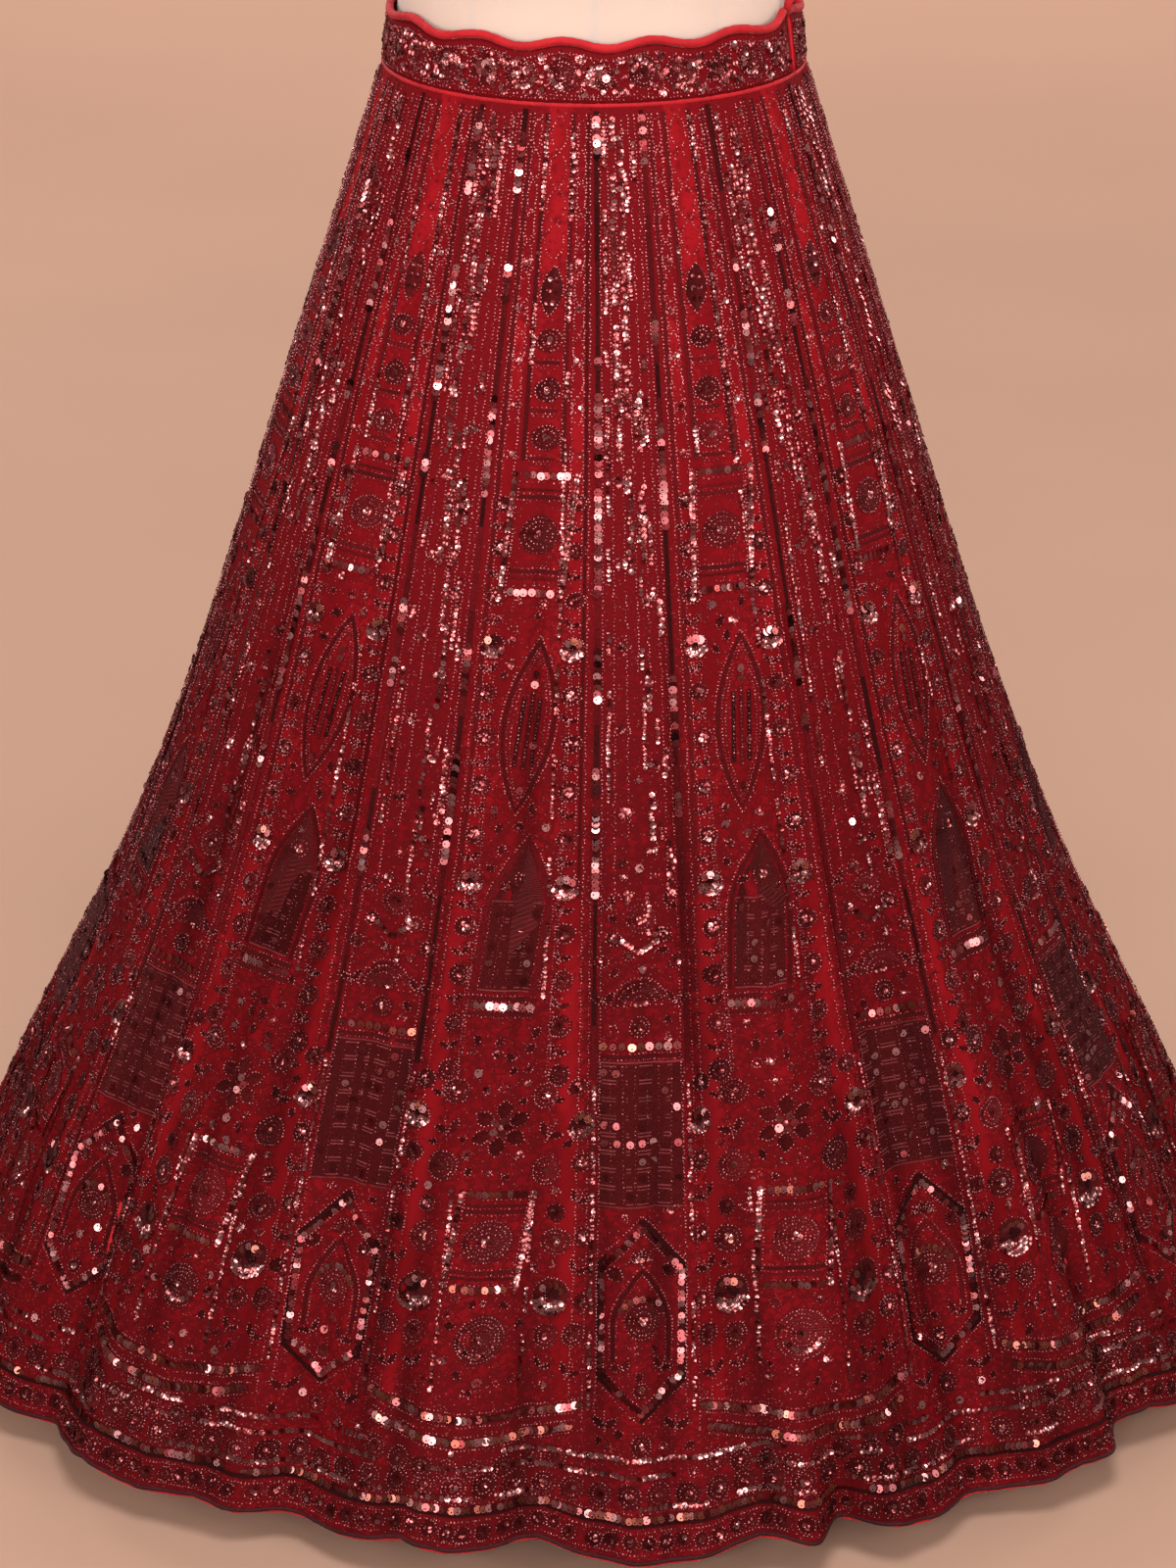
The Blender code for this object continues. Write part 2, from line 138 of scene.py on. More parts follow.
# Creases between the flutes: soft ridges, or troughs where the height is minus
#       (turn, half_turn, height, drop where it starts, drop where it is highest)
CREASES = [
    (-84.0, 3.0, -0.0032, 0.30, 0.80),
    (-79.0, 1.9, 0.0028, 0.62, 1.00),
    (-71.0, 2.6, 0.0035, 0.45, 1.00),
    (-66.5, 1.9, -0.0034, 0.50, 0.92),
    (-61.0, 1.6, 0.0026, 0.66, 1.00),
    (-58.0, 2.8, -0.0038, 0.20, 0.62),
    (-53.5, 1.7, -0.0030, 0.58, 0.88),
    (-49.0, 2.2, -0.0032, 0.55, 1.00),
    (-43.5, 1.8, -0.0036, 0.46, 0.84),
    (-39.8, 1.5, 0.0026, 0.70, 1.00),
    (-36.5, 2.6, -0.0042, 0.22, 0.70),
    (-33.4, 1.7, -0.0034, 0.52, 0.95),
    (-30.0, 2.2, 0.0029, 0.48, 0.95),
    (-24.6, 1.6, 0.0030, 0.44, 0.80),
    (-21.0, 2.6, -0.0035, 0.30, 0.85),
    (-17.2, 1.8, -0.0034, 0.50, 0.90),
    (-14.6, 1.5, 0.0026, 0.72, 1.00),
    (-12.0, 2.4, 0.0032, 0.60, 1.00),
    (-9.5, 2.2, -0.0032, 0.12, 0.50),
    (-6.4, 1.7, -0.0032, 0.56, 1.00),
    (-3.2, 1.6, 0.0028, 0.36, 0.70),
    (0.5, 2.4, -0.0029, 0.40, 0.90),
    (3.4, 1.5, 0.0024, 0.66, 1.00),
    (6.4, 1.7, -0.0034, 0.48, 0.86),
    (9.5, 2.6, 0.0032, 0.55, 1.00),
    (12.5, 2.4, -0.0042, 0.18, 0.66),
    (15.4, 1.6, -0.0030, 0.54, 0.94),
    (18.0, 2.0, 0.0029, 0.64, 1.00),
    (21.6, 1.8, 0.0030, 0.30, 0.62),
    (24.6, 1.6, -0.0034, 0.60, 1.00),
    (27.5, 2.4, -0.0032, 0.38, 0.92),
    (31.0, 2.2, 0.0032, 0.20, 0.58),
    (33.6, 1.7, -0.0036, 0.44, 0.90),
    (36.4, 1.5, 0.0026, 0.68, 1.00),
    (39.5, 2.6, -0.0038, 0.34, 0.84),
    (42.4, 1.7, -0.0030, 0.56, 1.00),
    (45.6, 1.6, 0.0030, 0.38, 0.72),
    (48.0, 2.2, 0.0035, 0.52, 1.00),
    (51.4, 1.8, -0.0036, 0.50, 0.88),
    (54.4, 1.5, 0.0028, 0.64, 1.00),
    (57.0, 2.8, -0.0042, 0.26, 0.74),
    (60.6, 1.7, -0.0034, 0.46, 0.90),
    (64.8, 1.6, 0.0030, 0.58, 1.00),
    (69.0, 2.6, 0.0032, 0.44, 0.96),
    (72.6, 1.8, -0.0034, 0.40, 0.84),
    (76.0, 2.8, -0.0035, 0.30, 0.80),
    (80.2, 1.7, 0.0028, 0.60, 1.00),
    (85.8, 2.0, -0.0032, 0.46, 0.90),
    (91.0, 2.8, 0.0035, 0.40, 1.00),
    (97.0, 2.0, -0.0034, 0.52, 1.00),
    (102.6, 1.8, 0.0030, 0.36, 0.74),
    (108.0, 3.0, -0.0038, 0.24, 0.76),
    (114.0, 2.0, 0.0028, 0.58, 1.00),
    (120.4, 2.2, -0.0034, 0.42, 0.88),
    (126.0, 2.8, 0.0032, 0.50, 1.00),
    (132.6, 2.0, -0.0032, 0.50, 1.00),
    (138.6, 1.8, 0.0030, 0.34, 0.70),
    (144.0, 3.0, -0.0038, 0.30, 0.86),
    (149.8, 2.0, 0.0028, 0.60, 1.00),
    (155.2, 2.0, -0.0034, 0.44, 0.86),
    (160.0, 2.6, 0.0032, 0.42, 1.00),
    (166.8, 1.8, -0.0030, 0.56, 1.00),
    (175.0, 2.8, -0.0035, 0.26, 0.70),
    (181.4, 2.0, 0.0030, 0.40, 0.78),
    (187.6, 1.8, -0.0034, 0.50, 0.92),
    (193.0, 3.0, 0.0035, 0.48, 1.00),
    (199.4, 2.0, 0.0028, 0.58, 1.00),
    (205.2, 2.0, -0.0034, 0.38, 0.80),
    (211.0, 2.8, -0.0038, 0.32, 0.82),
    (217.6, 1.8, 0.0030, 0.52, 1.00),
    (224.4, 2.0, -0.0032, 0.46, 0.88),
    (231.0, 3.0, 0.0032, 0.40, 1.00),
    (237.4, 2.0, 0.0028, 0.36, 0.72),
    (243.8, 1.8, -0.0034, 0.54, 1.00),
    (251.0, 2.8, -0.0035, 0.28, 0.78),
    (257.6, 2.0, -0.0032, 0.42, 0.84),
    (266.0, 2.6, 0.0029, 0.50, 1.00),
    (271.6, 1.8, 0.0028, 0.58, 1.00),
]
CLOTH_OUT = KALI_WALL / 2
KALI_GRID = (48, 84)
SEAM_TUCK = 0.0006
CREASE_DEPTH = 0.0040
SEAM_TUCK_WIDTH = 0.0025
LINING_GRID = (16, 40)
LINING_IN = 0.0012
BAND_GRID_STEP = 0.005
BAND_GRID_ROWS = 8

# Sewn pieces: diameters and heights over the cloth
BEAD = 0.0015
CUP = 0.0044
DISC = 0.0060
THREAD_OUT = 0.0005
BEAD_OUT = 0.0008
CUP_OUT = 0.0011
DISC_OUT = 0.0013
CUP_DEPTH = 0.055
HOLE_SHADE = 0.06
STRAY = 0.00022
SWAY_RUN = 7
LOST_BEADS = 0.10
# Painted shade on the sewn work: its colour falls by this share for each metre down the cloth
HEM_PAINTED_SHADE = 0.30
HEM_SWAY = 0.55

# ---------------------------------------------------------------- colours, linear

NET_RED = (0.295, 0.0065, 0.0108)
LINING_RED = (0.520, 0.0110, 0.0170)
# Deep red of the net's streaks, and of its painted shade towards the hem
NET_DEEP_DYE_AND_SHADE = (0.125, 0.0021, 0.0041)
# Thread colour in the painted shade towards the hem
THREAD_PAINTED_SHADE = (0.045, 0.0018, 0.0025)
NET_CRIMSON = (0.144, 0.0026, 0.0055)
THREAD_MAROON = (0.106, 0.0033, 0.0052)
THREAD_WINE = (0.158, 0.0038, 0.0068)
DOT_PEARL = (0.420, 0.105, 0.112)
DOT_GARNET = (0.170, 0.020, 0.026)
PIPING_RED = (0.470, 0.0080, 0.0150)
PIPING_MAROON = (0.050, 0.0040, 0.0065)
CANVAS = (0.620, 0.495, 0.410)
SEAM_GREY = (0.520, 0.470, 0.440)
STAND_CREAM = (0.700, 0.660, 0.590)
BACKDROP = (0.525, 0.316, 0.223)
FAR_GLOW = 0.60
EDGE_GLINT = (0.80, 0.36, 0.36)
TONES = {
    "bright": (0.740, 0.285, 0.275),
    "rose": (0.500, 0.092, 0.090),
    "copper": (0.480, 0.115, 0.074),
    "dark": (0.220, 0.022, 0.025),
    "black": (0.045, 0.006, 0.008),
    "pearl": (0.560, 0.170, 0.175),
    "garnet": (0.240, 0.035, 0.042),
    "maroon": (0.145, 0.0062, 0.0085),
    "wine": (0.185, 0.0068, 0.0100),
    "soot": (0.062, 0.0044, 0.0054),
    "gauze": (0.112, 0.0062, 0.0078),
    "rosy": (0.300, 0.0520, 0.0560),
}
# Shares of the tones in each kind of row
MIXTURES = {
    "string": (("bright", 0.30), ("rose", 0.50), ("dark", 0.20)),
    "crowd": (("bright", 0.62), ("rose", 0.28), ("dark", 0.10)),
    "soft": (("bright", 0.18), ("rose", 0.40), ("dark", 0.42)),
    "strip": (("bright", 0.22), ("rose", 0.32), ("dark", 0.36), ("black", 0.10)),
    "coppery": (("bright", 0.22), ("rose", 0.28), ("copper", 0.37), ("dark", 0.13)),
    "shade": (("bright", 0.24), ("rose", 0.26), ("dark", 0.50)),
    "beads": (("pearl", 0.68), ("garnet", 0.32)),
    "dusk": (("pearl", 0.34), ("garnet", 0.66)),
}


# ---------------------------------------------------------------- the embroidery's sizes and tables

# Pitches of bead lines
TIGHT = 0.0023
CLOSE = 0.0024
EVEN = 0.0025
LOOSE = 0.0026
WIDE = 0.0027
OPEN = 0.0030
SPARSE = 0.0032
# Heights of filled shapes in their middle
DOME = 0.0006
LOW_DOME = 0.0003
HIGH_DOME = 0.0012
RING_STEP = 0.0030
LATTICE_SEWN = 0.42
CELL = 0.0036
FILLING_TRIES = 2600
# Strings by kind
#       (piece, size, pitch, stray off the line, mixture)
STRING_KINDS = {
    "bead": ("bead", BEAD, 0.0026, 0.0003, "beads"),
    "small": ("cup", CUP * 0.74, 0.0031, 0.0003, "string"),
    "cup": ("cup", CUP * 1.05, 0.0044, 0.0008, "string"),
}
# Strings down a column, by their place across it
#       (share of its half width, kind, where it starts, where it ends, share of it that is sewn)
COLUMN_STRINGS = [
    (-0.86, "bead", 0.006, 0.930, 1.00),
    (-0.70, "small", 0.010, 0.520, 0.62),
    (-0.55, "bead", 0.006, 0.560, 0.90),
    (-0.36, "cup", 0.008, 0.250, 0.72),
    (-0.22, "bead", 0.010, 0.520, 0.85),
    (-0.04, "cup", 0.012, 0.330, 0.70),
    (0.10, "bead", 0.010, 0.400, 0.85),
    (0.20, "small", 0.016, 0.640, 0.52),
    (0.34, "cup", 0.200, 0.520, 0.55),
    (0.40, "bead", 0.006, 0.400, 0.85),
    (0.54, "small", 0.010, 0.560, 0.35),
    (0.68, "bead", 0.006, 0.560, 0.90),
    (0.74, "cup", 0.330, 0.560, 0.45),
    (0.86, "bead", 0.006, 0.930, 1.00),
]
# Strings between two columns, by their place between the middle and a column's edge
BETWEEN_STRINGS = [
    (-0.84, "bead", 0.006, 0.930, 1.00),
    (-0.72, "bead", 0.006, 0.560, 0.85),
    (-0.50, "bead", 0.006, 0.300, 0.85),
    (-0.34, "small", 0.010, 0.250, 0.35),
    (-0.30, "bead", 0.006, 0.250, 0.85),
    (0.32, "bead", 0.006, 0.250, 0.85),
    (0.40, "small", 0.010, 0.640, 0.60),
    (0.50, "bead", 0.006, 0.300, 0.85),
    (0.72, "bead", 0.006, 0.560, 0.85),
    (0.84, "bead", 0.006, 0.930, 1.00),
]
# Motifs on both sides of a column's middle
#       (across from the middle, down, kind, radius, lean)
COLUMN_SIDES = [
    (0.0165, 0.588, "rosette", 0.0055, 0.0),
    (0.0175, 0.566, "sprig", 0.0090, 0.9),
    (0.0230, 0.636, "sprig", 0.0110, 0.3),
    (0.0245, 0.606, "rosette", 0.0050, 0.0),
]
# Motifs on both sides of the middle line between two columns, in the same way
BETWEEN_SIDES = [
    (0.0300, 0.703, "rosette", 0.0092, 0.0),
    (0.0520, 0.695, "rosette", 0.0068, 0.0),
    (0.0560, 0.722, "knot", 0.0082, 0.0),
    (0.0330, 0.733, "sprig", 0.0130, 0.4),
    (0.0355, 0.756, "rosette", 0.0108, 0.0),
    (0.0590, 0.750, "rosette", 0.0072, 0.0),
    (0.0580, 0.778, "sprig", 0.0110, 0.4),
    (0.0440, 0.786, "rosette", 0.0060, 0.0),
    (0.0450, 0.808, "rosette", 0.0105, 0.0),
    (0.0650, 0.802, "rosette", 0.0066, 0.0),
    (0.0620, 0.828, "sprig", 0.0110, 0.4),
    (0.0470, 0.846, "knot", 0.0128, 0.0),
    (0.0690, 0.848, "rosette", 0.0058, 0.0),
    (0.0660, 0.872, "rosette", 0.0080, 0.0),
    (0.0460, 0.876, "rosette", 0.0085, 0.0),
    (0.0440, 0.899, "sprig", 0.0100, 0.4),
    (0.0630, 0.902, "sprig", 0.0110, 0.4),
]
# The large sequins of a cypress
#       (share of its half width, share of its height, mixture)
CYPRESS_DISCS = [
    (0.0, 0.20, "coppery"),
    (0.0, 0.26, "coppery"),
    (0.3, 0.62, "soft"),
    (0.0, 0.88, "soft"),
]
# Corners of a shield
#       (share of its half width, share of its height)
SHIELD = [(0, 0.0), (1, 0.23), (1, 0.80), (0, 1.0), (-1, 0.80), (-1, 0.23), (0, 0.0)]
# Rows of rosettes over the hem
#       (height over the scallops, pitch, radius, mixture)
BORDER_ROSETTES = [
    (0.0115, 0.0128, 0.0058, "soft"),
    (0.0405, 0.0205, 0.0088, "string"),
]
# How full of thread the cloth between two columns is
#       (metres down, share)
BETWEEN_WORK = [
    (0.00, 0.36),
    (0.10, 0.36),
    (0.13, 0.50),
    (0.36, 0.50),
    (0.39, 0.40),
    (0.50, 0.42),
    (0.53, 0.56),
    (0.67, 0.56),
    (0.70, 0.40),
    (0.80, 0.46),
    (0.90, 0.60),
    (0.94, 0.84),
    (1.03, 0.92),
]

# ---------------------------------------------------------------- the skirt's surface


def read_table(rows, place):
    """The values of a table at each place, on a smooth curve through its rows."""
    rows = np.asarray(rows, float)
    place = np.asarray(place, float)
    keys = rows[:, 0]
    order = np.arange(len(rows))
    low = np.maximum(order - 1, 0)
    high = np.minimum(order + 1, len(rows) - 1)
    slopes = (rows[high] - rows[low]) / (keys[high] - keys[low])[:, None]
    after = np.clip(np.searchsorted(keys, place), 1, len(rows) - 1)
    before = after - 1
    span = (keys[after] - keys[before])[..., None]
    share = ((place - keys[before]))[..., None] / span
    rise = rows[after] - rows[before]
    bend = (1 - share) * (slopes[before] * span - rise)
    unbend = share * (rise - slopes[after] * span)
    values = rows[before] + share * rise + share * (1 - share) * (bend + unbend)
    return values[..., 1:]


def ring_angle(turn, half_width, half_depth):
    arc = np.radians(turn)
    flatness = (half_width - half_depth) / (half_width + half_depth)
    return arc - flatness / 2 * np.sin(2 * arc)


def ring_girth(half_width, half_depth):
    flatness = (half_width - half_depth) / (half_width + half_depth)
    return math.pi * (half_width + half_depth) * (1 + flatness**2 / 4)


def outward_at(angle, half_width, half_depth):
    across = np.sin(angle) / half_width
    ahead = -np.cos(angle) / half_depth
    size = np.hypot(across, ahead)
    return np.stack([across / size, ahead / size, np.zeros_like(size)], -1)


def skirt_ring(drop):
    half_width = read_table(FLARE, drop)[..., 0]
    share = WAIST_DEPTH_SHARE + (HEM_DEPTH_SHARE - WAIST_DEPTH_SHARE) * np.maximum(drop, 0) ** DEPTH_POWER
    return half_width, half_width * share


def bump_away(turn, middle, half_turn):
    """A soft bump, 1 at its middle and 0 past half_turn."""
    away = np.abs((turn - middle + 180.0) % 360.0 - 180.0) / half_turn
    return np.where(away < 1.0, (1 + np.cos(math.pi * np.minimum(away, 1.0))) / 2, 0.0)


def crease_swell(turn, drop):
    swell = np.zeros(np.broadcast(turn, drop).shape)
    for middle, half_turn, height, start, peak in CREASES:
        grown = np.clip((drop - start) / (peak - start), 0.0, 1.0)
        fading = np.clip(1.0 - (drop - peak) / 0.3, 0.0, 1.0)
        swell += height * (3 - 2 * grown) * grown**2 * fading * bump_away(turn, middle, half_turn)
    return swell


def fold_swell(turn, drop):
    swell = crease_swell(turn, drop)
    for middle, half_turn, height, start in FLUTES:
        grown = np.maximum((drop - start) / (1.0 - start), 0.0) ** FLUTE_GROWTH
        swell += height * grown * bump_away(turn, middle, half_turn)
    return swell


def on_skirt(turn, drop):
    turn, drop = np.broadcast_arrays(np.asarray(turn, float), np.asarray(drop, float))
    half_width, half_depth = skirt_ring(drop)
    angle = ring_angle(turn, half_width, half_depth)
    dip = FRONT_DIP * np.cos(angle) * (1.0 - drop)
    place = np.stack(
        [
            half_width * np.sin(angle),
            -half_depth * np.cos(angle),
            WAIST_SEAM_Z - SKIRT_LENGTH * drop - dip,
        ],
        -1,
    )
    return place + outward_at(angle, half_width, half_depth) * fold_swell(turn, drop)[..., None]


def unit(vectors):
    return vectors / np.linalg.norm(vectors, axis=-1, keepdims=True)


def frames_on(surface, u, v, step_u, step_v):
    """Points of a surface with their directions across, down and out."""
    across = unit(surface(u + step_u, v) - surface(u - step_u, v))
    down = surface(u, v + step_v) - surface(u, v - step_v)
    out = unit(np.cross(down, across))
    return surface(u, v), across, unit(np.cross(across, out)), out


# Metres down the cloth against drop, read along the skirt's side
DROPS = np.linspace(0.0, 1.06, 213)
_side = np.stack([skirt_ring(DROPS)[1], SKIRT_LENGTH * DROPS], -1)
DOWNS = np.concatenate([[0.0], np.cumsum(np.linalg.norm(np.diff(_side, axis=0), axis=1))])
CLOTH_LENGTH = float(np.interp(1.0, DROPS, DOWNS))


def drop_at(down):
    return np.interp(down, DOWNS, DROPS)


def down_at(drop):
    return np.interp(drop, DROPS, DOWNS)


def repeat_width(down):
    """The cloth's width in one repeat of the embroidery."""
    return ring_girth(*skirt_ring(drop_at(down))) / KALIS


def column_half(down):
    return COLUMN_HALF_AT_WAIST + (COLUMN_HALF_AT_HEM - COLUMN_HALF_AT_WAIST) * drop_at(down)


def column_turn(kali):
    return FIRST_COLUMN_TURN + kali * KALI_TURN


def settled_turn(turn, drop):
    """Where cloth lies once the front panels have spread and the back ones have crowded."""
    faded = np.maximum(1.0 - (np.maximum(drop, 0.0) / SPREAD_END_DROP) ** 2, 0.0) ** SPREAD_POWER
    return turn + SPREAD_TURN * faded * np.sin(np.radians(turn - SPREAD_CENTRE_TURN))


def scallop_down(share):
    """How far the hem hangs below drop 1, at a share of the way across a kali."""
    column = np.asarray(share, float) * KALI_COLUMNS
    hang = np.zeros_like(column)
    for start, end, depth in SCALLOPS:
        for shift in (-KALI_COLUMNS, 0, KALI_COLUMNS):
            along = (column - start - shift) / (end - start)
            inside = (along >= 0.0) & (along <= 1.0)
            hang = np.where(inside, depth * 4 * along * (1 - along), hang)
    return hang


def kali_place(kali, share, fall):
    """(even turn, drop) of a point of a kali: share 0 to 1 across it, fall 0 to 1 from waist to hem."""
    drop = fall * (1.0 + scallop_down(share) / SKIRT_LENGTH * fall**SCALLOP_FADE)
    half_column = COLUMN_HALF_AT_WAIST + (COLUMN_HALF_AT_HEM - COLUMN_HALF_AT_WAIST) * drop
    left = column_turn(kali) - 360.0 * half_column / ring_girth(*skirt_ring(drop))
    return left + KALI_TURN * share, drop


def on_cloth(turn, drop):
    """A point of the skirt for an even turn, so with the spread of the front panels."""
    return on_skirt(settled_turn(turn, drop), drop)


def painted_crease_shade(turn, drop):
    """Painted shade and light of the creases: the colour darkened in the hollow of each crease and
    lightened on its ridge.
    """
    swell = crease_swell(settled_turn(turn, drop), drop) / CREASE_DEPTH
    return 1.0 + np.where(swell < 0.0, 0.45, 0.18) * np.clip(swell, -1.0, 1.0)


def skirt_frames(turn, drop):
    return frames_on(on_cloth, turn, drop, 0.15, 0.0015)


# ---------------------------------------------------------------- the waistband's surface

BAND_TOP_GIRTH = float(ring_girth(BAND_TOP_HALF_WIDTH, BAND_TOP_HALF_WIDTH * WAIST_DEPTH_SHARE))


def band_wave(turn):
    return np.cos(np.radians((turn - BAND_WAVE_START) * BAND_WAVES))


def on_band(turn, rise):
    turn, rise = np.broadcast_arrays(np.asarray(turn, float), np.asarray(rise, float))
    half_width = FLARE[0][1] + (BAND_TOP_HALF_WIDTH - FLARE[0][1]) * rise
    half_depth = half_width * WAIST_DEPTH_SHARE
    angle = ring_angle(turn, half_width, half_depth)
    away = (PLACKET_TURN - turn) / PLACKET_LIFT_TURN
    lift = np.where((away >= 0.0) & (away < 1.0), PLACKET_LIFT * (1 - away) ** 2, 0.0)
    height = BAND_HEIGHT + BAND_WAVE_HEIGHT * band_wave(turn) + lift
    place = np.stack(
        [
            half_width * np.sin(angle),
            -half_depth * np.cos(angle),
            WAIST_SEAM_Z - FRONT_DIP * np.cos(angle) + height * rise,
        ],
        -1,
    )
    lean = BAND_RIPPLE * rise**2 * band_wave(turn)
    return place - outward_at(angle, half_width, half_depth) * lean[..., None]


def metres_to_turn(metres):
    return 360.0 * metres / BAND_TOP_GIRTH


def placket_half_gap(rise):
    gap = PLACKET_HALF_GAP_AT_SEAM + (PLACKET_HALF_GAP_AT_TOP - PLACKET_HALF_GAP_AT_SEAM) * rise
    return metres_to_turn(gap)


# ---------------------------------------------------------------- meshes


def mesh_piece(name, points, faces, finishes):
    """An object from points and faces: rows of three or four point numbers."""
    faces = np.asarray(faces, np.int32)
    mesh = bpy.data.meshes.new(name)
    mesh.vertices.add(len(points))
    mesh.vertices.foreach_set("co", np.asarray(points, np.float32).ravel())
    mesh.loops.add(faces.size)
    mesh.loops.foreach_set("vertex_index", faces.ravel())
    mesh.polygons.add(len(faces))
    mesh.polygons.foreach_set("loop_start", np.arange(0, faces.size, faces.shape[1], dtype=np.int32))
    mesh.polygons.foreach_set("use_smooth", np.full(len(faces), True))
    mesh.update(calc_edges=True)
    mesh.validate()
    for finish in finishes:
        mesh.materials.append(finish)
    made = bpy.data.objects.new(name, mesh)
    bpy.context.scene.collection.objects.link(made)
    return made


def point_values(made, name, kind, values):
    values = np.asarray(values, np.float32)
    layer = made.data.attributes.new(name, kind, "POINT")
    layer.data.foreach_set("color" if kind == "FLOAT_COLOR" else "vector", values.ravel())


def point_shade(made, name, shade):
    """One number at each point, held as a grey."""
    point_values(made, name, "FLOAT_COLOR", np.repeat(shade[:, None], 4, 1))


def grid(columns, rows, left=0.0, right=1.0, first=0.0, last=1.0):
    """Where the points of a net are, across and down, a row after a row."""
    across, down = np.meshgrid(np.linspace(left, right, columns + 1), np.linspace(first, last, rows + 1))
    return across.ravel(), down.ravel()


def grid_faces(columns, rows, closed=False):
    """Faces of a net with a point at each crossing, a row after a row, seen from outside."""
    wide = columns if closed else columns + 1
    across = np.arange(columns)
    after = (across + 1) % wide
    base = (np.arange(rows) * wide)[:, None]
    corners = [base + across, base + wide + across, base + wide + after, base + after]
    return np.stack(corners, -1).reshape(-1, 4)


def tube_piece(name, path, radii, sides, finishes, closed=False):
    """A soft cord along a path, with a radius at each of its points."""
    path = np.asarray(path, float)
    if closed:
        ahead = np.roll(path, -1, 0) - np.roll(path, 1, 0)
    else:
        ahead = np.gradient(path, axis=0)
    ahead = unit(ahead)
    side = unit(np.cross(ahead, [0.0, 0.0, 1.0]) + 1e-9)
    top = np.cross(side, ahead)
    angle = np.linspace(0.0, 2 * math.pi, sides, endpoint=False)
    ring = side[:, None] * np.cos(angle)[:, None] + top[:, None] * np.sin(angle)[:, None]
    points = (path[:, None] + ring * np.asarray(radii)[:, None, None]).reshape(-1, 3)
    rings = len(path)
    start = np.arange(rings if closed else rings - 1)[:, None] * sides
    here = np.arange(sides)
    after = (here + 1) % sides
    beyond = (start + sides) % (rings * sides)
    faces = np.stack([start + here, beyond + here, beyond + after, start + after], -1).reshape(-1, 4)
    if not closed:
        faces = np.concatenate([faces, tube_caps(len(points), rings, sides)])
        points = np.concatenate([points, path[:1], path[-1:]])
    return mesh_piece(name, points, faces, finishes)


def tube_caps(first_centre, rings, sides):
    """Fans of four-sided faces that close both ends of an open tube."""
    here = np.arange(0, sides, 2)
    middle = here + 1
    after = (here + 2) % sides
    last = (rings - 1) * sides
    near = np.stack([here, middle, after, np.full_like(here, first_centre)], -1)
    far = np.stack([last + here, np.full_like(here, first_centre + 1), last + after, last + middle], -1)
    return np.concatenate([near, far])


# ---------------------------------------------------------------- materials


class Finish:
    """A material with a Principled shader and short ways to add nodes to it."""

    def __init__(self, name, roughness=0.5, **sockets):
        self.material = bpy.data.materials.new(name)
        self.material.use_nodes = True
        self.tree = self.material.node_tree
        self.shader = self.tree.nodes["Principled BSDF"]
        self.shader.inputs["Roughness"].default_value = roughness
        for socket, value in sockets.items():
            self.shader.inputs[socket.replace("_", " ")].default_value = value

    def node(self, kind, inputs=(), **settings):
        made = self.tree.nodes.new(kind)
        for key, value in settings.items():
            setattr(made, key, value)
        for key, value in dict(inputs).items():
            self.feed(value, made.inputs[key])
        return made

    def feed(self, value, socket):
        if isinstance(value, bpy.types.NodeSocket):
            self.tree.links.new(value, socket)
        elif isinstance(value, tuple) and len(value) == 3 and socket.type == "RGBA":
            socket.default_value = (*value, 1.0)
        else:
            socket.default_value = value

    def set(self, socket, value):
        self.feed(value, self.shader.inputs[socket])

    def math(self, operation, a, b=0.0, clamp=False):
        return self.node("ShaderNodeMath", {0: a, 1: b}, operation=operation, use_clamp=clamp).outputs[0]

    def times(self, a, b):
        return self.math("MULTIPLY", a, b)

    def plus(self, a, b, clamp=False):
        return self.math("ADD", a, b, clamp)

    def stored(self, name, output="Vector"):
        """A value that the mesh holds at its points."""
        return self.node("ShaderNodeAttribute", attribute_name=name).outputs[output]

    def coords(self):
        return self.node("ShaderNodeTexCoord").outputs["Object"]

    def stretch(self, vector, scale):
        return self.node("ShaderNodeVectorMath", {0: vector, 1: scale}, operation="MULTIPLY").outputs[0]

    def noise(self, vector, scale, detail=2.0, roughness=0.5):
        inputs = {"Vector": vector, "Scale": scale, "Detail": detail, "Roughness": roughness}
        return self.node("ShaderNodeTexNoise", inputs).outputs["Fac"]

    def cells(self, vector, scale, randomness=1.0):
        """Round cells: the distance from each one's middle, and two chances of its own."""
        inputs = {"Vector": vector, "Scale": scale, "Randomness": randomness}
        made = self.node("ShaderNodeTexVoronoi", inputs, feature="F1")
        chances = self.node("ShaderNodeSeparateColor", {0: made.outputs["Color"]}).outputs
        return made.outputs["Distance"], chances[0], chances[1]

    def ramp(self, value, low, high):
        """0 below low and 1 above high."""
        inputs = {"Value": value, "From Min": low, "From Max": high}
        return self.node("ShaderNodeMapRange", inputs, interpolation_type="SMOOTHSTEP").outputs[0]

    def span(self, value, first, last, low=0.0, high=1.0):
        """first where value is low, last where it is high, and even between them."""
        inputs = {"Value": value, "From Min": low, "From Max": high, "To Min": first, "To Max": last}
        return self.node("ShaderNodeMapRange", inputs).outputs[0]

    def mix(self, share, a, b):
        made = self.node("ShaderNodeMix", data_type="RGBA")
        self.feed(share, made.inputs[0])
        self.feed(a, made.inputs[6])
        self.feed(b, made.inputs[7])
        return made.outputs[2]

    def clouded(self, patches, low, high, colour, darker):
        """A colour that falls to a share of itself as patches go from low to high."""
        return self.mix(self.ramp(patches, low, high), colour, tuple(c * darker for c in colour))

    def bump(self, height, distance, strength=1.0):
        inputs = {"Height": height, "Distance": distance, "Strength": strength}
        self.set("Normal", self.node("ShaderNodeBump", inputs).outputs[0])


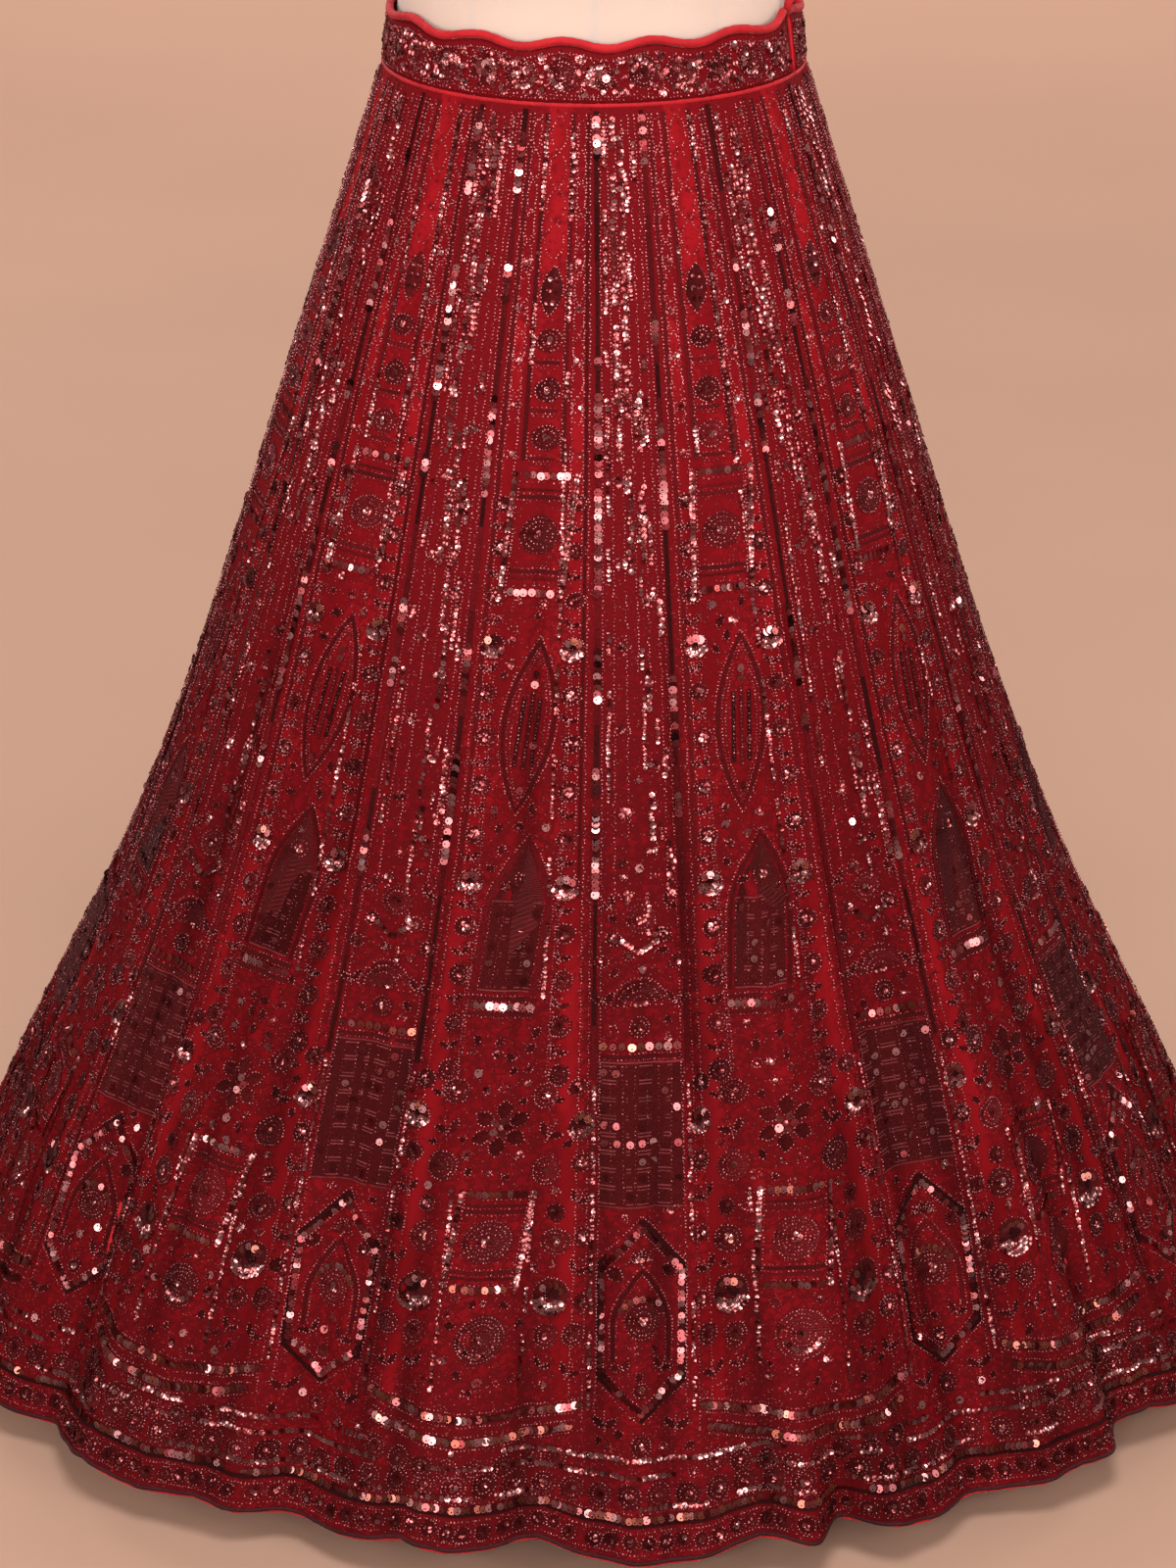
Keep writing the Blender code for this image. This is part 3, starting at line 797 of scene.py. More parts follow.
def net_colour(finish, place, flat, down, share):
    """Red net with painted shade that deepens it lower down, deeper in long streaks, and crimson where it
    is thick with work.
    """
    streaks = finish.noise(finish.stretch(place, (1.0, 0.30, 0.0)), 34.0, 3.0, 0.55)
    # Painted shade: the net darkens towards the hem; the streaks are its own dye.
    depth = finish.times(finish.ramp(down, -0.10, 0.60), 0.66)
    depth = finish.plus(depth, finish.times(finish.ramp(streaks, 0.36, 0.64), 0.58), True)
    net = finish.mix(depth, NET_RED, NET_DEEP_DYE_AND_SHADE)
    tufts = finish.noise(flat, 260.0, 3.0, 0.65)
    edge = finish.plus(share, finish.times(tufts, 0.7))
    return finish.mix(finish.ramp(edge, 0.72, 0.98), net, NET_CRIMSON)


def thread_colour(finish, stitches, down):
    """Maroon and wine stitches, with painted shade that darkens them lower down."""
    thread = finish.mix(finish.ramp(stitches, 0.36, 0.62), THREAD_MAROON, THREAD_WINE)
    # Painted shade: the thread darkens towards the hem.
    return finish.mix(finish.times(finish.ramp(down, 0.20, 0.60), 0.55), thread, THREAD_PAINTED_SHADE)


def stems_and_rounds(finish, flat, down, share):
    """Winding stems and ringed rounds of thread, 1 on them and 0 beside them."""
    swirl = finish.math("SUBTRACT", finish.noise(flat, 105.0, 1.5, 0.5), 0.5)
    stems = finish.ramp(finish.math("ABSOLUTE", swirl), 0.060, 0.030)
    stems = finish.times(stems, finish.ramp(share, 0.10, 0.40))
    distance, chance, _ = finish.cells(flat, 66.0)
    waves = finish.math("SINE", finish.times(distance, 37.0))
    rings = finish.times(finish.ramp(waves, -0.2, 0.5), finish.ramp(distance, 0.44, 0.38))
    rings = finish.times(rings, finish.math("GREATER_THAN", chance, 0.40))
    rings = finish.times(rings, finish.ramp(share, 0.15, 0.42))
    return finish.times(finish.math("MAXIMUM", stems, rings), finish.ramp(down, 0.22, 0.34))


def seed_domes(finish, flat, down, share, lined):
    """Heights of seed beads, more of them on the stems and near the hem, and a chance for each."""
    distance, chance, shade = finish.cells(flat, 430.0, 0.7)
    bare = finish.span(lined, 0.84, 0.16, 0.2, 0.8)
    bare = finish.math("SUBTRACT", bare, finish.times(finish.ramp(down, 0.82, 0.97), 0.34))
    sewn = finish.times(finish.math("GREATER_THAN", chance, bare), finish.ramp(share, 0.15, 0.40))
    return finish.times(finish.ramp(distance, 0.28, 0.10), sewn), shade


def net_finish():
    """Red net over a red lining, full of thread stems and rounds where it is worked, with seed beads."""
    finish = Finish("net_and_thread", roughness=0.6, Specular_IOR_Level=0.03)
    place = finish.stored("place")
    parts = finish.node("ShaderNodeSeparateXYZ", {0: place}).outputs
    down, share = parts[1], parts[2]
    flat = finish.stretch(place, (1.0, 1.0, 0.0))
    stitches = finish.noise(finish.stretch(flat, (1.0, 0.55, 0.0)), 950.0, 2.0, 0.7)
    clumps = finish.noise(flat, 155.0, 3.0, 0.6)
    lined = stems_and_rounds(finish, flat, down, share)
    worked = finish.ramp(finish.plus(clumps, finish.times(share, 0.42)), 0.66, 0.84)
    worked = finish.math("MAXIMUM", worked, finish.times(lined, 0.9))
    net = net_colour(finish, place, flat, down, share)
    ground = finish.mix(worked, net, thread_colour(finish, stitches, down))

    dome, shade = seed_domes(finish, flat, down, share, lined)
    inside = finish.ramp(dome, 0.05, 0.35)
    dotted = finish.mix(inside, ground, finish.mix(shade, DOT_GARNET, DOT_PEARL))
    # Painted shade: the colour is multiplied by the painted crease shade and light held in the fold
    # attribute.
    finish.set("Base Color", finish.stretch(dotted, finish.stored("fold", "Fac")))
    finish.set("Roughness", finish.span(inside, 0.62, 0.18))
    relief = finish.times(finish.times(worked, stitches), 0.5)
    finish.bump(finish.plus(relief, dome), 0.0007)
    return finish.material


def thread_finish():
    """Satin stitches: fine ridges across each filled shape."""
    finish = Finish("satin_thread", roughness=0.55, Specular_IOR_Level=0.08)
    place = finish.stored("stitch")
    inputs = {"Vector": place, "Scale": 520.0, "Distortion": 2.2, "Detail": 2.0, "Detail Scale": 2.0}
    ridges = finish.node("ShaderNodeTexWave", inputs, bands_direction="X").outputs["Fac"]
    frayed = finish.noise(place, 700.0, 2.0, 0.6)
    shade = finish.plus(finish.times(ridges, 0.50), finish.times(frayed, 0.9))
    finish.set("Base Color", finish.stretch(finish.stored("tint", "Color"), shade))
    finish.bump(ridges, 0.0004, 0.8)
    return finish.material


def glinting(name, roughness, **sockets):
    """A glossy finish in the colour that each copy was given."""
    finish = Finish(name, roughness, **sockets)
    finish.set("Base Color", finish.stored("tint", "Color"))
    finish.set("Specular Tint", EDGE_GLINT)
    return finish


def bead_finish():
    return glinting("glass_seed_bead", 0.25, Coat_Weight=0.12, Coat_Roughness=0.08, Metallic=0.6).material


def sequin_finish():
    finish = glinting("sequin", 0.2, Metallic=0.84, Coat_Weight=0.45, Coat_Roughness=0.10)
    marks = finish.noise(finish.coords(), 900.0, 2.0, 0.5)
    finish.set("Roughness", finish.span(marks, 0.12, 0.26))
    return finish.material


def crepe_finish(name, colour, sheen):
    """Plain crepe: a fine pebbled weave and slightly uneven dye."""
    finish = Finish(name, roughness=0.6, Specular_IOR_Level=0.2, Sheen_Weight=sheen, Sheen_Roughness=0.4)
    coords = finish.coords()
    patches = finish.noise(coords, 60.0, 3.0, 0.6)
    finish.set("Base Color", finish.clouded(patches, 0.3, 0.75, colour, 0.72))
    weave = finish.noise(coords, 1600.0, 2.0, 0.6)
    wrinkles = finish.noise(coords, 190.0, 2.0, 0.55)
    finish.bump(finish.plus(finish.times(wrinkles, 2.5), weave), 0.0006, 0.8)
    return finish.material


def canvas_finish():
    """Unbleached canvas over padding, with a faint line at each panel seam."""
    finish = Finish("form_canvas", roughness=0.85, Sheen_Weight=0.3, Sheen_Roughness=0.5)
    coords = finish.coords()
    cloth = finish.clouded(finish.noise(coords, 14.0, 3.0, 0.6), 0.3, 0.7, CANVAS, 0.94)
    finish.set("Base Color", finish.mix(finish.stored("tint", "Color"), cloth, SEAM_GREY))
    threads = finish.noise(finish.stretch(coords, (1.0, 1.0, 0.6)), 1100.0, 1.0, 0.5)
    finish.bump(threads, 0.0003, 0.5)
    return finish.material


def enamel_finish():
    finish = Finish("stand_enamel", roughness=0.32, Coat_Weight=0.4)
    worn = finish.noise(finish.coords(), 22.0, 4.0, 0.6)
    finish.set("Base Color", finish.clouded(worn, 0.35, 0.7, STAND_CREAM, 0.88))
    finish.set("Roughness", finish.span(worn, 0.25, 0.45))
    return finish.material


def studio_finish():
    """Plain paper, with a glow of its own on the far floor and the walls in place of more lights."""
    finish = Finish("studio_paper", roughness=0.9)
    coords = finish.coords()
    finish.set("Base Color", finish.clouded(finish.noise(coords, 1.4), 0.3, 0.7, BACKDROP, 0.96))
    away = finish.node("ShaderNodeVectorMath", {0: coords}, operation="LENGTH").outputs["Value"]
    finish.set("Emission Color", BACKDROP)
    finish.set("Emission Strength", finish.times(finish.ramp(away, 2.0, 7.0), FAR_GLOW))
    finish.material.cycles.emission_sampling = "NONE"
    return finish.material


# ---------------------------------------------------------------- laying out the embroidery


def along(points, pitch):
    """Places at an even pitch along a line of points, with the line's angle at each."""
    points = np.asarray(points, float)
    steps = np.linalg.norm(np.diff(points, axis=0), axis=1)
    reach = np.concatenate([[0.0], np.cumsum(steps)])
    count = max(int(round(reach[-1] / pitch)), 1)
    at = (np.arange(count) + 0.5) * reach[-1] / count
    nudge = min(pitch, reach[-1] / count) / 2

    def on_line(place, axis):
        return np.interp(place, reach, points[:, axis])

    ahead_x, ahead_y = (on_line(at + nudge, axis) - on_line(at - nudge, axis) for axis in (0, 1))
    return on_line(at, 0), on_line(at, 1), np.arctan2(ahead_y, ahead_x)


def ellipse(x, y, wide, high, start=0.0, end=360.0, steps=24):
    angle = np.radians(np.linspace(start, end, steps + 1))
    return np.stack([x + wide * np.cos(angle), y + high * np.sin(angle)], -1)


def arch(x, top, half, height, spring=0.45, steps=10):
    """A pointed arch, from its left foot over its tip to its right foot."""
    t = np.linspace(0.0, 1.0, steps + 1)
    side_x = half * (1 - t**1.7)
    side_y = top + height * (1 - spring) * (1 - t)
    left = np.stack([x - side_x, side_y], -1)
    right = np.stack([x + side_x, side_y], -1)[::-1]
    foot_y = top + height
    return np.concatenate([[(x - half, foot_y)], left, right[1:], [(x + half, foot_y)]])


def pointed_oval(x, y, half, height, steps=9):
    """A leaf shape, from its top tip round and back to it."""
    t = np.linspace(0.0, 1.0, steps + 1)
    side = half * np.sin(math.pi * t) ** 0.85
    right = np.stack([x + side, y + height * t], -1)
    left = np.stack([x - side, y + height * t], -1)[::-1]
    return np.concatenate([right, left[1:]])


def turned(shape, x, y, angle):
    """A flat shape turned about its own zero and moved to x, y."""
    turned_x = x + shape[:, 0] * math.cos(angle) - shape[:, 1] * math.sin(angle)
    turned_y = y + shape[:, 0] * math.sin(angle) + shape[:, 1] * math.cos(angle)
    return np.stack([turned_x, turned_y], -1)


def level(x, y, half, steps=6):
    """A level line across the cloth."""
    across = np.linspace(-half, half, steps + 1)
    return np.stack([x + across, np.full(steps + 1, y)], -1)


def line_at(offset, top, end, centre=None):
    """A line down the cloth at an offset(y) from the column's middle, or from centre(y)."""
    down = np.linspace(top, end, max(int((end - top) / 0.02), 2) + 1)
    middle = 0.0 if centre is None else centre(down)
    return np.stack([middle + offset(down), down], -1)


def sewn_runs(count, share, rng, run=6):
    """Which of a row's places are sewn: runs with gaps between them."""
    gaps = rng.random(count // run + 2)
    at = np.arange(count) / run
    return np.interp(at, np.arange(len(gaps)), gaps) < 0.5 + (share - 0.5) * 1.1


class Pattern:
    """Everything sewn on one piece of cloth, laid out flat by an uneven hand."""

    def __init__(self, seed):
        self.rng = np.random.default_rng(seed)
        self.sewn = {"bead": [], "cup": [], "disc": []}
        self.thread = []

    def put(self, kind, x, y, size, mixture, spin=0.0):
        x, y, size, spin = np.broadcast_arrays(
            *(np.atleast_1d(np.asarray(v, float)) for v in (x, y, size, spin))
        )
        self.sewn[kind].append((x, y, size, spin, mixture))

    def beads(self, points, mixture="beads", pitch=CLOSE, size=BEAD):
        x, y, spin = along(points, pitch)
        kept = self.rng.random(len(x)) > LOST_BEADS
        self.put("bead", x[kept], y[kept], size, mixture, spin[kept])

    def cups(self, points, mixture="string", pitch=SPARSE, size=CUP):
        x, y, spin = along(points, pitch)
        self.put("cup", x, y, size, mixture, spin)

    def discs(self, points, mixture="coppery", pitch=0.0042, size=DISC):
        x, y, spin = along(points, pitch)
        self.put("disc", x, y, size, mixture, spin)

    def gappy_row(self, kind, points, pitch, share, size, mixture, run):
        """A row of cups or discs in runs, with gaps between them."""
        x, y, spin = along(points, pitch)
        sewn = sewn_runs(len(x), share, self.rng, run)
        self.put(kind, x[sewn], y[sewn], size, mixture, spin[sewn])

    def string(self, points, kind, share):
        """A string of beads or cups in runs, each of them a little off the line."""
        piece, size, pitch, stray, mixture = STRING_KINDS[kind]
        x, y, spin = along(points, pitch)
        sewn = sewn_runs(len(x), share, self.rng)
        x = x[sewn] + self.rng.normal(0.0, stray, sewn.sum())
        self.put(piece, x, y[sewn], size, mixture, spin[sewn])

    def strings(self, rows, reach, centre=None):
        for place, kind, top, end, share in rows:
            self.string(line_at(lambda y: place * reach(y), top, end, centre), kind, share)

    def ribbon(self, points, width, tone="maroon"):
        """A band of satin stitch along a line."""
        points = np.asarray(points, float)
        ahead = unit(np.gradient(points, axis=0) + 1e-12)
        side = np.stack([-ahead[:, 1], ahead[:, 0]], -1) * width / 2
        edge = np.concatenate([points - side, points + side])
        n = len(points)
        here = np.arange(n - 1)
        faces = np.stack([here, here + 1, here + 1 + n, here + n], -1)
        run = np.concatenate([[0.0], np.cumsum(np.linalg.norm(np.diff(points, axis=0), axis=1))])
        stitch = np.concatenate([np.stack([run, run * 0], -1), np.stack([run, run * 0 + width], -1)])
        self.thread.append((edge, np.zeros(2 * n), stitch, faces, tone))

    def fill(self, outline, tone="maroon", dome=DOME):
        """A shape filled with satin stitch, raised in its middle."""
        outline = np.asarray(outline, float)
        if np.allclose(outline[0], outline[-1]):
            outline = outline[:-1]
        if len(outline) % 2:
            outline = outline[:-1]
        n = len(outline)
        middle = outline.mean(0)
        points = np.concatenate([outline, [middle]])
        raised = np.concatenate([np.zeros(n), [dome]])
        here = np.arange(0, n, 2)
        faces = np.stack([here, (here + 1) % n, (here + 2) % n, np.full_like(here, n)], -1)
        away = points - middle
        angle = np.arctan2(away[:, 1], away[:, 0])
        stitch = np.stack([angle * 0.006, np.hypot(away[:, 0], away[:, 1])], -1)
        self.thread.append((points, raised, stitch, faces, tone))

    def block(self, x, top, half, height, tone, columns=7, rows=8):
        """A rectangle of long level stitches."""
        across, down = grid(columns, rows, -half, half, 0.0, height)
        stitch = np.stack([down, across], -1)
        points = np.stack([x + across, top + down], -1)
        self.thread.append((points, np.zeros(len(points)), stitch, grid_faces(columns, rows), tone))

    def leaf(self, shape, mixture="beads", pitch=EVEN, dome=DOME):
        """A shape of satin stitch outlined in beads."""
        self.fill(shape, "maroon", dome)
        self.beads(shape, mixture, pitch)


# ---------------------------------------------------------------- motifs


def rosette(pattern, x, y, radius, sparkle="soft"):
    """A round of thread under rings of beads, with a few cups in its middle."""
    rng = pattern.rng
    x, y = x + rng.normal(0.0, 0.0006), y + rng.normal(0.0, 0.0008)
    wide, high = radius * rng.uniform(0.90, 1.06), radius * rng.uniform(0.92, 1.10)
    ragged = ellipse(x, y, wide, high, steps=14) + rng.normal(0.0, 0.0005, (15, 2))
    ragged[-1] = ragged[0]
    pattern.fill(ragged, "maroon" if rng.random() < 0.6 else "wine")
    ring = radius * 0.95
    while ring > 0.0040:
        share = ring / radius
        mixture = "beads" if rng.random() < 0.6 else "dusk"
        pattern.beads(ellipse(x, y, wide * share, high * share), mixture, TIGHT)
        ring -= RING_STEP
    count = max(int(round(2 * math.pi * ring * 0.6 / 0.0030)), 2)
    angle = np.arange(count) * 2 * math.pi / count + 200.0 * radius
    cup_x, cup_y = x + ring * 0.6 * np.cos(angle), y + ring * 0.6 * np.sin(angle)
    pattern.put("cup", cup_x, cup_y, CUP * 0.9, sparkle, angle)


def knot(pattern, x, y, radius):
    """A dark raised eye with large sequins over it and cups crowded under it."""
    pattern.fill(ellipse(x, y, radius, radius, steps=12))
    pattern.fill(ellipse(x, y - radius * 0.1, radius * 0.5, radius * 0.5, steps=10), "soot", HIGH_DOME)
    pattern.beads(ellipse(x, y, radius, radius), pitch=TIGHT)
    pattern.discs(ellipse(x, y - radius * 0.1, radius * 0.55, radius * 0.5, 190.0, 350.0))
    for share in (0.48, 0.72, 0.96):
        under = ellipse(x, y + radius * 0.1, radius * share, radius * share, 15.0, 165.0)
        pattern.cups(under, "crowd", LOOSE)


def flower(pattern, x, y, radius, mixture="soft"):
    """A flower of six pointed petals round a knot of large sequins."""
    for petal in range(6):
        petal_leaf = pointed_oval(0.0, radius * 0.28, radius * 0.26, radius * 0.72, steps=5)
        pattern.leaf(turned(petal_leaf, x, y, 2 * math.pi * (petal + 0.5) / 6 - math.pi / 2))
    ring = np.arange(5) * 2 * math.pi / 5
    reach = radius * 0.25
    pattern.put("disc", x + reach * np.cos(ring), y + reach * np.sin(ring), DISC, mixture, ring)
    pattern.put("cup", x, y, CUP, "string")


def cluster(pattern, x, y, radius, cups):
    """A loose knot of beads round a few cups."""
    count = int(6 + 1100 * radius)
    angle = pattern.rng.uniform(0.0, 2 * math.pi, count)
    reach = radius * np.sqrt(pattern.rng.uniform(0.05, 1.0, count))
    pattern.put("bead", x + reach * np.cos(angle), y + reach * np.sin(angle), BEAD, "beads")
    angle = pattern.rng.uniform(0.0, 2 * math.pi, cups)
    reach = radius * 0.4
    pattern.put("cup", x + reach * np.cos(angle), y + reach * np.sin(angle), CUP, "string", angle)


def sprig(pattern, x, y, size, lean=0.0):
    """A stem of beads between two small leaves."""
    for side in (-1, 1):
        small_leaf = pointed_oval(0.0, 0.0, size * 0.20, size * 0.95, steps=4)
        pattern.leaf(turned(small_leaf * (1, -1), x, y, lean + side * 0.85), pitch=LOOSE, dome=LOW_DOME)
    pattern.beads([(x, y + size * 0.4), (x + size * math.sin(lean), y - size * math.cos(lean))])


def bar(pattern, x, y, half, width=0.0022, edge=True):
    """A bar of satin stitch between bead lines."""
    pattern.ribbon(level(x, y, half), width)
    if edge:
        for side in (-1, 1):
            line = y + side * (width / 2 + 0.0011)
            pattern.beads([(x - half, line), (x + half, line)], "dusk", WIDE)


def boxed_rosette(pattern, x, top, half, height, bright="coppery"):
    """A frame of bars and bead lines with a rosette in it and sequins along its bars."""
    middle = top + height / 2
    for side in (-1, 1):
        pattern.beads([(x + side * half, top), (x + side * half, top + height)], pitch=WIDE)
        outside = x + side * (half + 0.003)
        pattern.cups([(outside, top), (outside, top + height)], pitch=0.0029)
        bar(pattern, x, middle + side * height * 0.30, half)
        bar(pattern, x, middle + side * height * 0.36, half, 0.0014, edge=False)
        row = middle + side * height * 0.42
        pattern.beads([(x - half * 0.8, row), (x + half * 0.8, row)], pitch=SPARSE)
        outer = middle + side * (height / 2 - 0.0022)
        pattern.discs([(x - half * 0.90, outer), (x + half * 0.90, outer)], bright, size=0.0056)
    rosette(pattern, x, middle, min(half * 0.78, height * 0.25), "string")


def oval_chain(pattern, centre, top, end, half, period):
    """Two bead lines that meet and part again."""
    down = np.arange(top, end, 0.0012)
    swing = np.abs(np.sin(math.pi * (down - top) / period)) ** 0.7
    for side in (-1, 1):
        pattern.beads(np.stack([centre(down) + side * half(down) * swing, down], -1))


def cypress(pattern, x, top, half, height):
    """A tall pointed leaf: a thread edge between bead lines, and thread stems inside."""
    pattern.ribbon(pointed_oval(x, top, half, height), 0.0022)
    for grow in (0.0026, -0.0026, -0.0052):
        shape = pointed_oval(x, top - grow * 1.6, half + grow, height + grow * 3.2)
        pattern.beads(shape, "beads" if grow > 0 else "dusk")
    for share in (-0.34, 0.0, 0.34):
        stem = x + share * half
        reach = 0.30 + 0.08 * abs(share)
        line = [(stem, top + height * reach), (stem, top + height * (1 - reach * 0.8))]
        pattern.ribbon(line, 0.0026, "soot" if share else "maroon")
        pattern.beads(line, "dusk", WIDE)
    for across, share, mixture in CYPRESS_DISCS:
        pattern.put("disc", x + half * across, top + height * share, DISC, mixture)


def lattice(pattern, x, top, half, height, columns, rows):
    """A gauzy block of thread with double rows of stitches, bead posts, and sequins in its squares."""
    pattern.block(x, top, half, height, "gauze")
    for row in range(rows + 1):
        for shift in (-0.0012, 0.0012):
            pattern.ribbon(level(x, top + height * row / rows + shift, half), 0.0010, "rosy")
    for column in range(columns + 1):
        post = x - half + 2 * half * column / columns
        pattern.beads([(post, top), (post, top + height)], "dusk", OPEN, BEAD * 0.8)
    across = x - half + 2 * half * (np.arange(columns) + 0.5) / columns
    down = top + height * (np.arange(rows) + 0.5) / rows
    across, down = np.meshgrid(across, down)
    sewn = pattern.rng.random(across.shape) < LATTICE_SEWN
    pattern.put("disc", across[sewn], down[sewn], DISC * 0.95, "shade")


def domed_lattice(pattern, x, top, half, height):
    """A pointed arch over a lattice, standing on two bars."""
    pattern.ribbon(arch(x, top, half, height, 0.5), 0.0024)
    pattern.beads(arch(x, top - 0.0040, half + 0.0030, height + 0.0040, 0.5), pitch=EVEN)
    pattern.fill(arch(x, top + 0.004, half - 0.0028, height - 0.004, 0.5), "gauze", 0.0010)
    lattice(pattern, x, top + height * 0.42, half - 0.0034, height * 0.56, 4, 5)
    rosette(pattern, x, top + height * 0.27, half * 0.34)
    foot = top + height
    bar(pattern, x, foot + 0.0050, half + 0.003)
    pattern.discs([(x - half - 0.002, foot + 0.0105), (x + half + 0.002, foot + 0.0105)], "string", 0.0044)
    bar(pattern, x, foot + 0.0160, half + 0.003)


def fan(pattern, x, base, radius):
    """Half rounds of beads over a low dome of thread."""
    pattern.fill(ellipse(x, base, radius * 0.9, radius, 180.0, 360.0, 12))
    for share in (0.36, 0.56, 0.78, 1.0):
        pattern.beads(ellipse(x, base, radius * share, radius * share * 1.1, 180.0, 360.0))
    for angle in np.radians(np.linspace(200.0, 340.0, 7)):
        reach = np.array([[0.48], [0.98]]) * radius
        spoke = np.concatenate([x + reach * math.cos(angle), base + reach * 1.1 * math.sin(angle)], 1)
        pattern.beads(spoke, "dusk", LOOSE)
    pattern.put("cup", x + np.array([-1, 0, 1]) * 0.003, base - 0.002, CUP, "string")


def shield(pattern, x, top, half, height):
    """A pointed arch with a pointed foot, doubled, with a large rosette in it."""
    outer = np.array([(x + half * across, top + height * down) for across, down in SHIELD])
    middle = np.array([x, top + height / 2])
    pattern.beads(outer)
    pattern.ribbon(middle + (outer - middle) * 0.955, 0.0030, "soot")
    pattern.discs(middle + (outer - middle) * 0.885, "shade", 0.0040, 0.0052)
    pattern.beads(middle + (outer - middle) * 0.83, pitch=EVEN)
    pattern.ribbon(arch(x, top + height * 0.26, half * 0.62, height * 0.44, 0.40), 0.0024)
    pattern.beads(arch(x, top + height * 0.235, half * 0.70, height * 0.47, 0.40))
    pattern.beads(arch(x, top + height * 0.28, half * 0.54, height * 0.42, 0.40), "dusk")
    rosette(pattern, x, top + height * 0.50, half * 0.42, "string")
    pattern.discs(ellipse(x, top + height * 0.50, half * 0.50, half * 0.50, 200.0, 340.0), size=0.0052)
    fan(pattern, x, top + height * 0.225, half * 0.28)
    for side in (-1, 1):
        sprig(pattern, x + side * half * 0.40, top + height * 0.74, 0.011, side * 0.5)
        rosette(pattern, x + side * half * 0.62, top + height * 0.27, 0.0052)
    rosette(pattern, x, top + height * 0.83, half * 0.18, "coppery")


def swag(pattern, left, right, y, sag):
    """A hanging row of large sequins between two bead lines."""
    share = np.linspace(0.0, 1.0, 15)
    line = np.stack([left + (right - left) * share, y + sag * 4 * share * (1 - share)], -1)
    pattern.ribbon(line, 0.0050)
    pattern.discs(line, pitch=0.0034)
    for side in (-1, 1):
        pattern.beads(line + np.array([0.0, side * 0.0048]))


def leaflet(pattern, x, y, size, turn):
    """A small leaf of thread outlined in beads."""
    shape = pointed_oval(0.0, -size / 2, size * 0.30, size, steps=4)
    pattern.leaf(turned(shape, x, y, turn), "dusk", CLOSE, LOW_DOME)


# ---------------------------------------------------------------- one repeat of the skirt


def column_edge(y):
    """Half the width of a column between its dark edges, never past its panel's seam."""
    drop = drop_at(y)
    return np.minimum(0.0160 + 0.0100 * drop + 0.0260 * drop**2, column_half(y) - 0.0028)


def middle_at(y):
    """The line halfway between two columns."""
    return repeat_width(y) / 2


def reach_at(y):
    """How far the edge of a column is from that line."""
    return repeat_width(y) / 2 - column_edge(y)


def side_motifs(pattern, rows, side, centre):
    """The motifs of a table on one side of a middle line."""
    for across, y, kind, radius, lean in rows:
        x = centre(y) + side * across
        if kind == "rosette":
            rosette(pattern, x, y, radius, "coppery" if radius > 0.010 else "soft")
        elif kind == "knot":
            knot(pattern, x, y, radius)
        else:
            sprig(pattern, x, y, radius, side * lean)


def column_edges(pattern):
    """The dark edge at each side of a column, in uneven runs, with large sequins on it here and there."""
    rng = pattern.rng
    for side in (-1, 1):
        top = 0.004
        while top < 0.680:
            end = min(top + rng.uniform(0.022, 0.070), 0.690)
            tone = rng.choice(("soot", "maroon", "wine"), p=(0.42, 0.36, 0.22))
            edge = line_at(lambda y: side * column_edge(y), top, end)
            pattern.ribbon(edge, rng.uniform(0.0022, 0.0036), tone)
            top = end
        edge = line_at(lambda y: side * column_edge(y), 0.008, 0.560)
        pattern.gappy_row("disc", edge, 0.0042, 0.46, DISC, "strip", 5)
        pattern.string(line_at(lambda y: side * (column_edge(y) - 0.0005), 0.694, 0.925), "small", 0.75)
        pattern.beads(line_at(lambda y: side * (column_edge(y) + 0.0034), 0.560, 0.940), "dusk", EVEN)


def column_work(pattern):
    """The embroidered column in the middle of each repeat."""
    pattern.strings(COLUMN_STRINGS, column_edge)
    column_edges(pattern)
    for step, y in enumerate(np.arange(0.205, 0.560, 0.059)):
        reach = float(column_edge(y))
        cluster(pattern, -reach * 0.30, y, 0.0060, 3)
        cluster(pattern, reach * (0.42 - 0.10 * (step % 2)), y + 0.026, 0.0055, 3)
    rosette(pattern, 0.0, 0.575, 0.0100, "string")
    for side in (-1, 1):
        side_motifs(pattern, COLUMN_SIDES, side, lambda y: 0.0)
    pattern.cups([(-0.0125, 0.590), (0.0, 0.600), (0.0125, 0.590)])
    fan(pattern, 0.0, 0.638, 0.019)
    rosette(pattern, 0.0, 0.652, 0.0075, "coppery")
    reach = float(column_edge(0.68)) - 0.004
    pattern.discs([(-reach, 0.6665), (reach, 0.6665)], pitch=DISC)
    bar(pattern, 0.0, 0.6735, reach)
    lattice(pattern, 0.0, 0.679, reach + 0.001, 0.100, 7, 8)
    shield(pattern, 0.0, 0.786, float(column_edge(0.86)) - 0.005, 0.148)
    foot = float(column_edge(0.93))
    for side in (-1, 1):
        sprig(pattern, side * foot * 0.66, 0.938, 0.013)
    rosette(pattern, 0.0, 0.9475, 0.0078, "string")


def between_strings(pattern):
    """Strings, thread lines and oval chains between two columns."""
    pattern.strings(BETWEEN_STRINGS, reach_at, middle_at)
    for side in (-1, 1):
        for share, end, width in ((0.36, 0.250, 0.0026), (0.78, 0.560, 0.0020)):
            pattern.ribbon(line_at(lambda y: side * share * reach_at(y), 0.006, end, middle_at), width)
        oval_chain(
            pattern,
            lambda y: middle_at(y) + side * 0.61 * reach_at(y),
            0.010, 0.225, lambda y: 0.0026 + 0.004 * y, 0.0215,
        )
        for offset in (0.0175, 0.0195):
            pattern.beads(line_at(lambda y: side * (offset + 0.016 * y), 0.360, 0.690, middle_at), "dusk")
    oval_chain(pattern, middle_at, 0.008, 0.108, lambda y: 0.0045 + 0.016 * y, 0.0250)


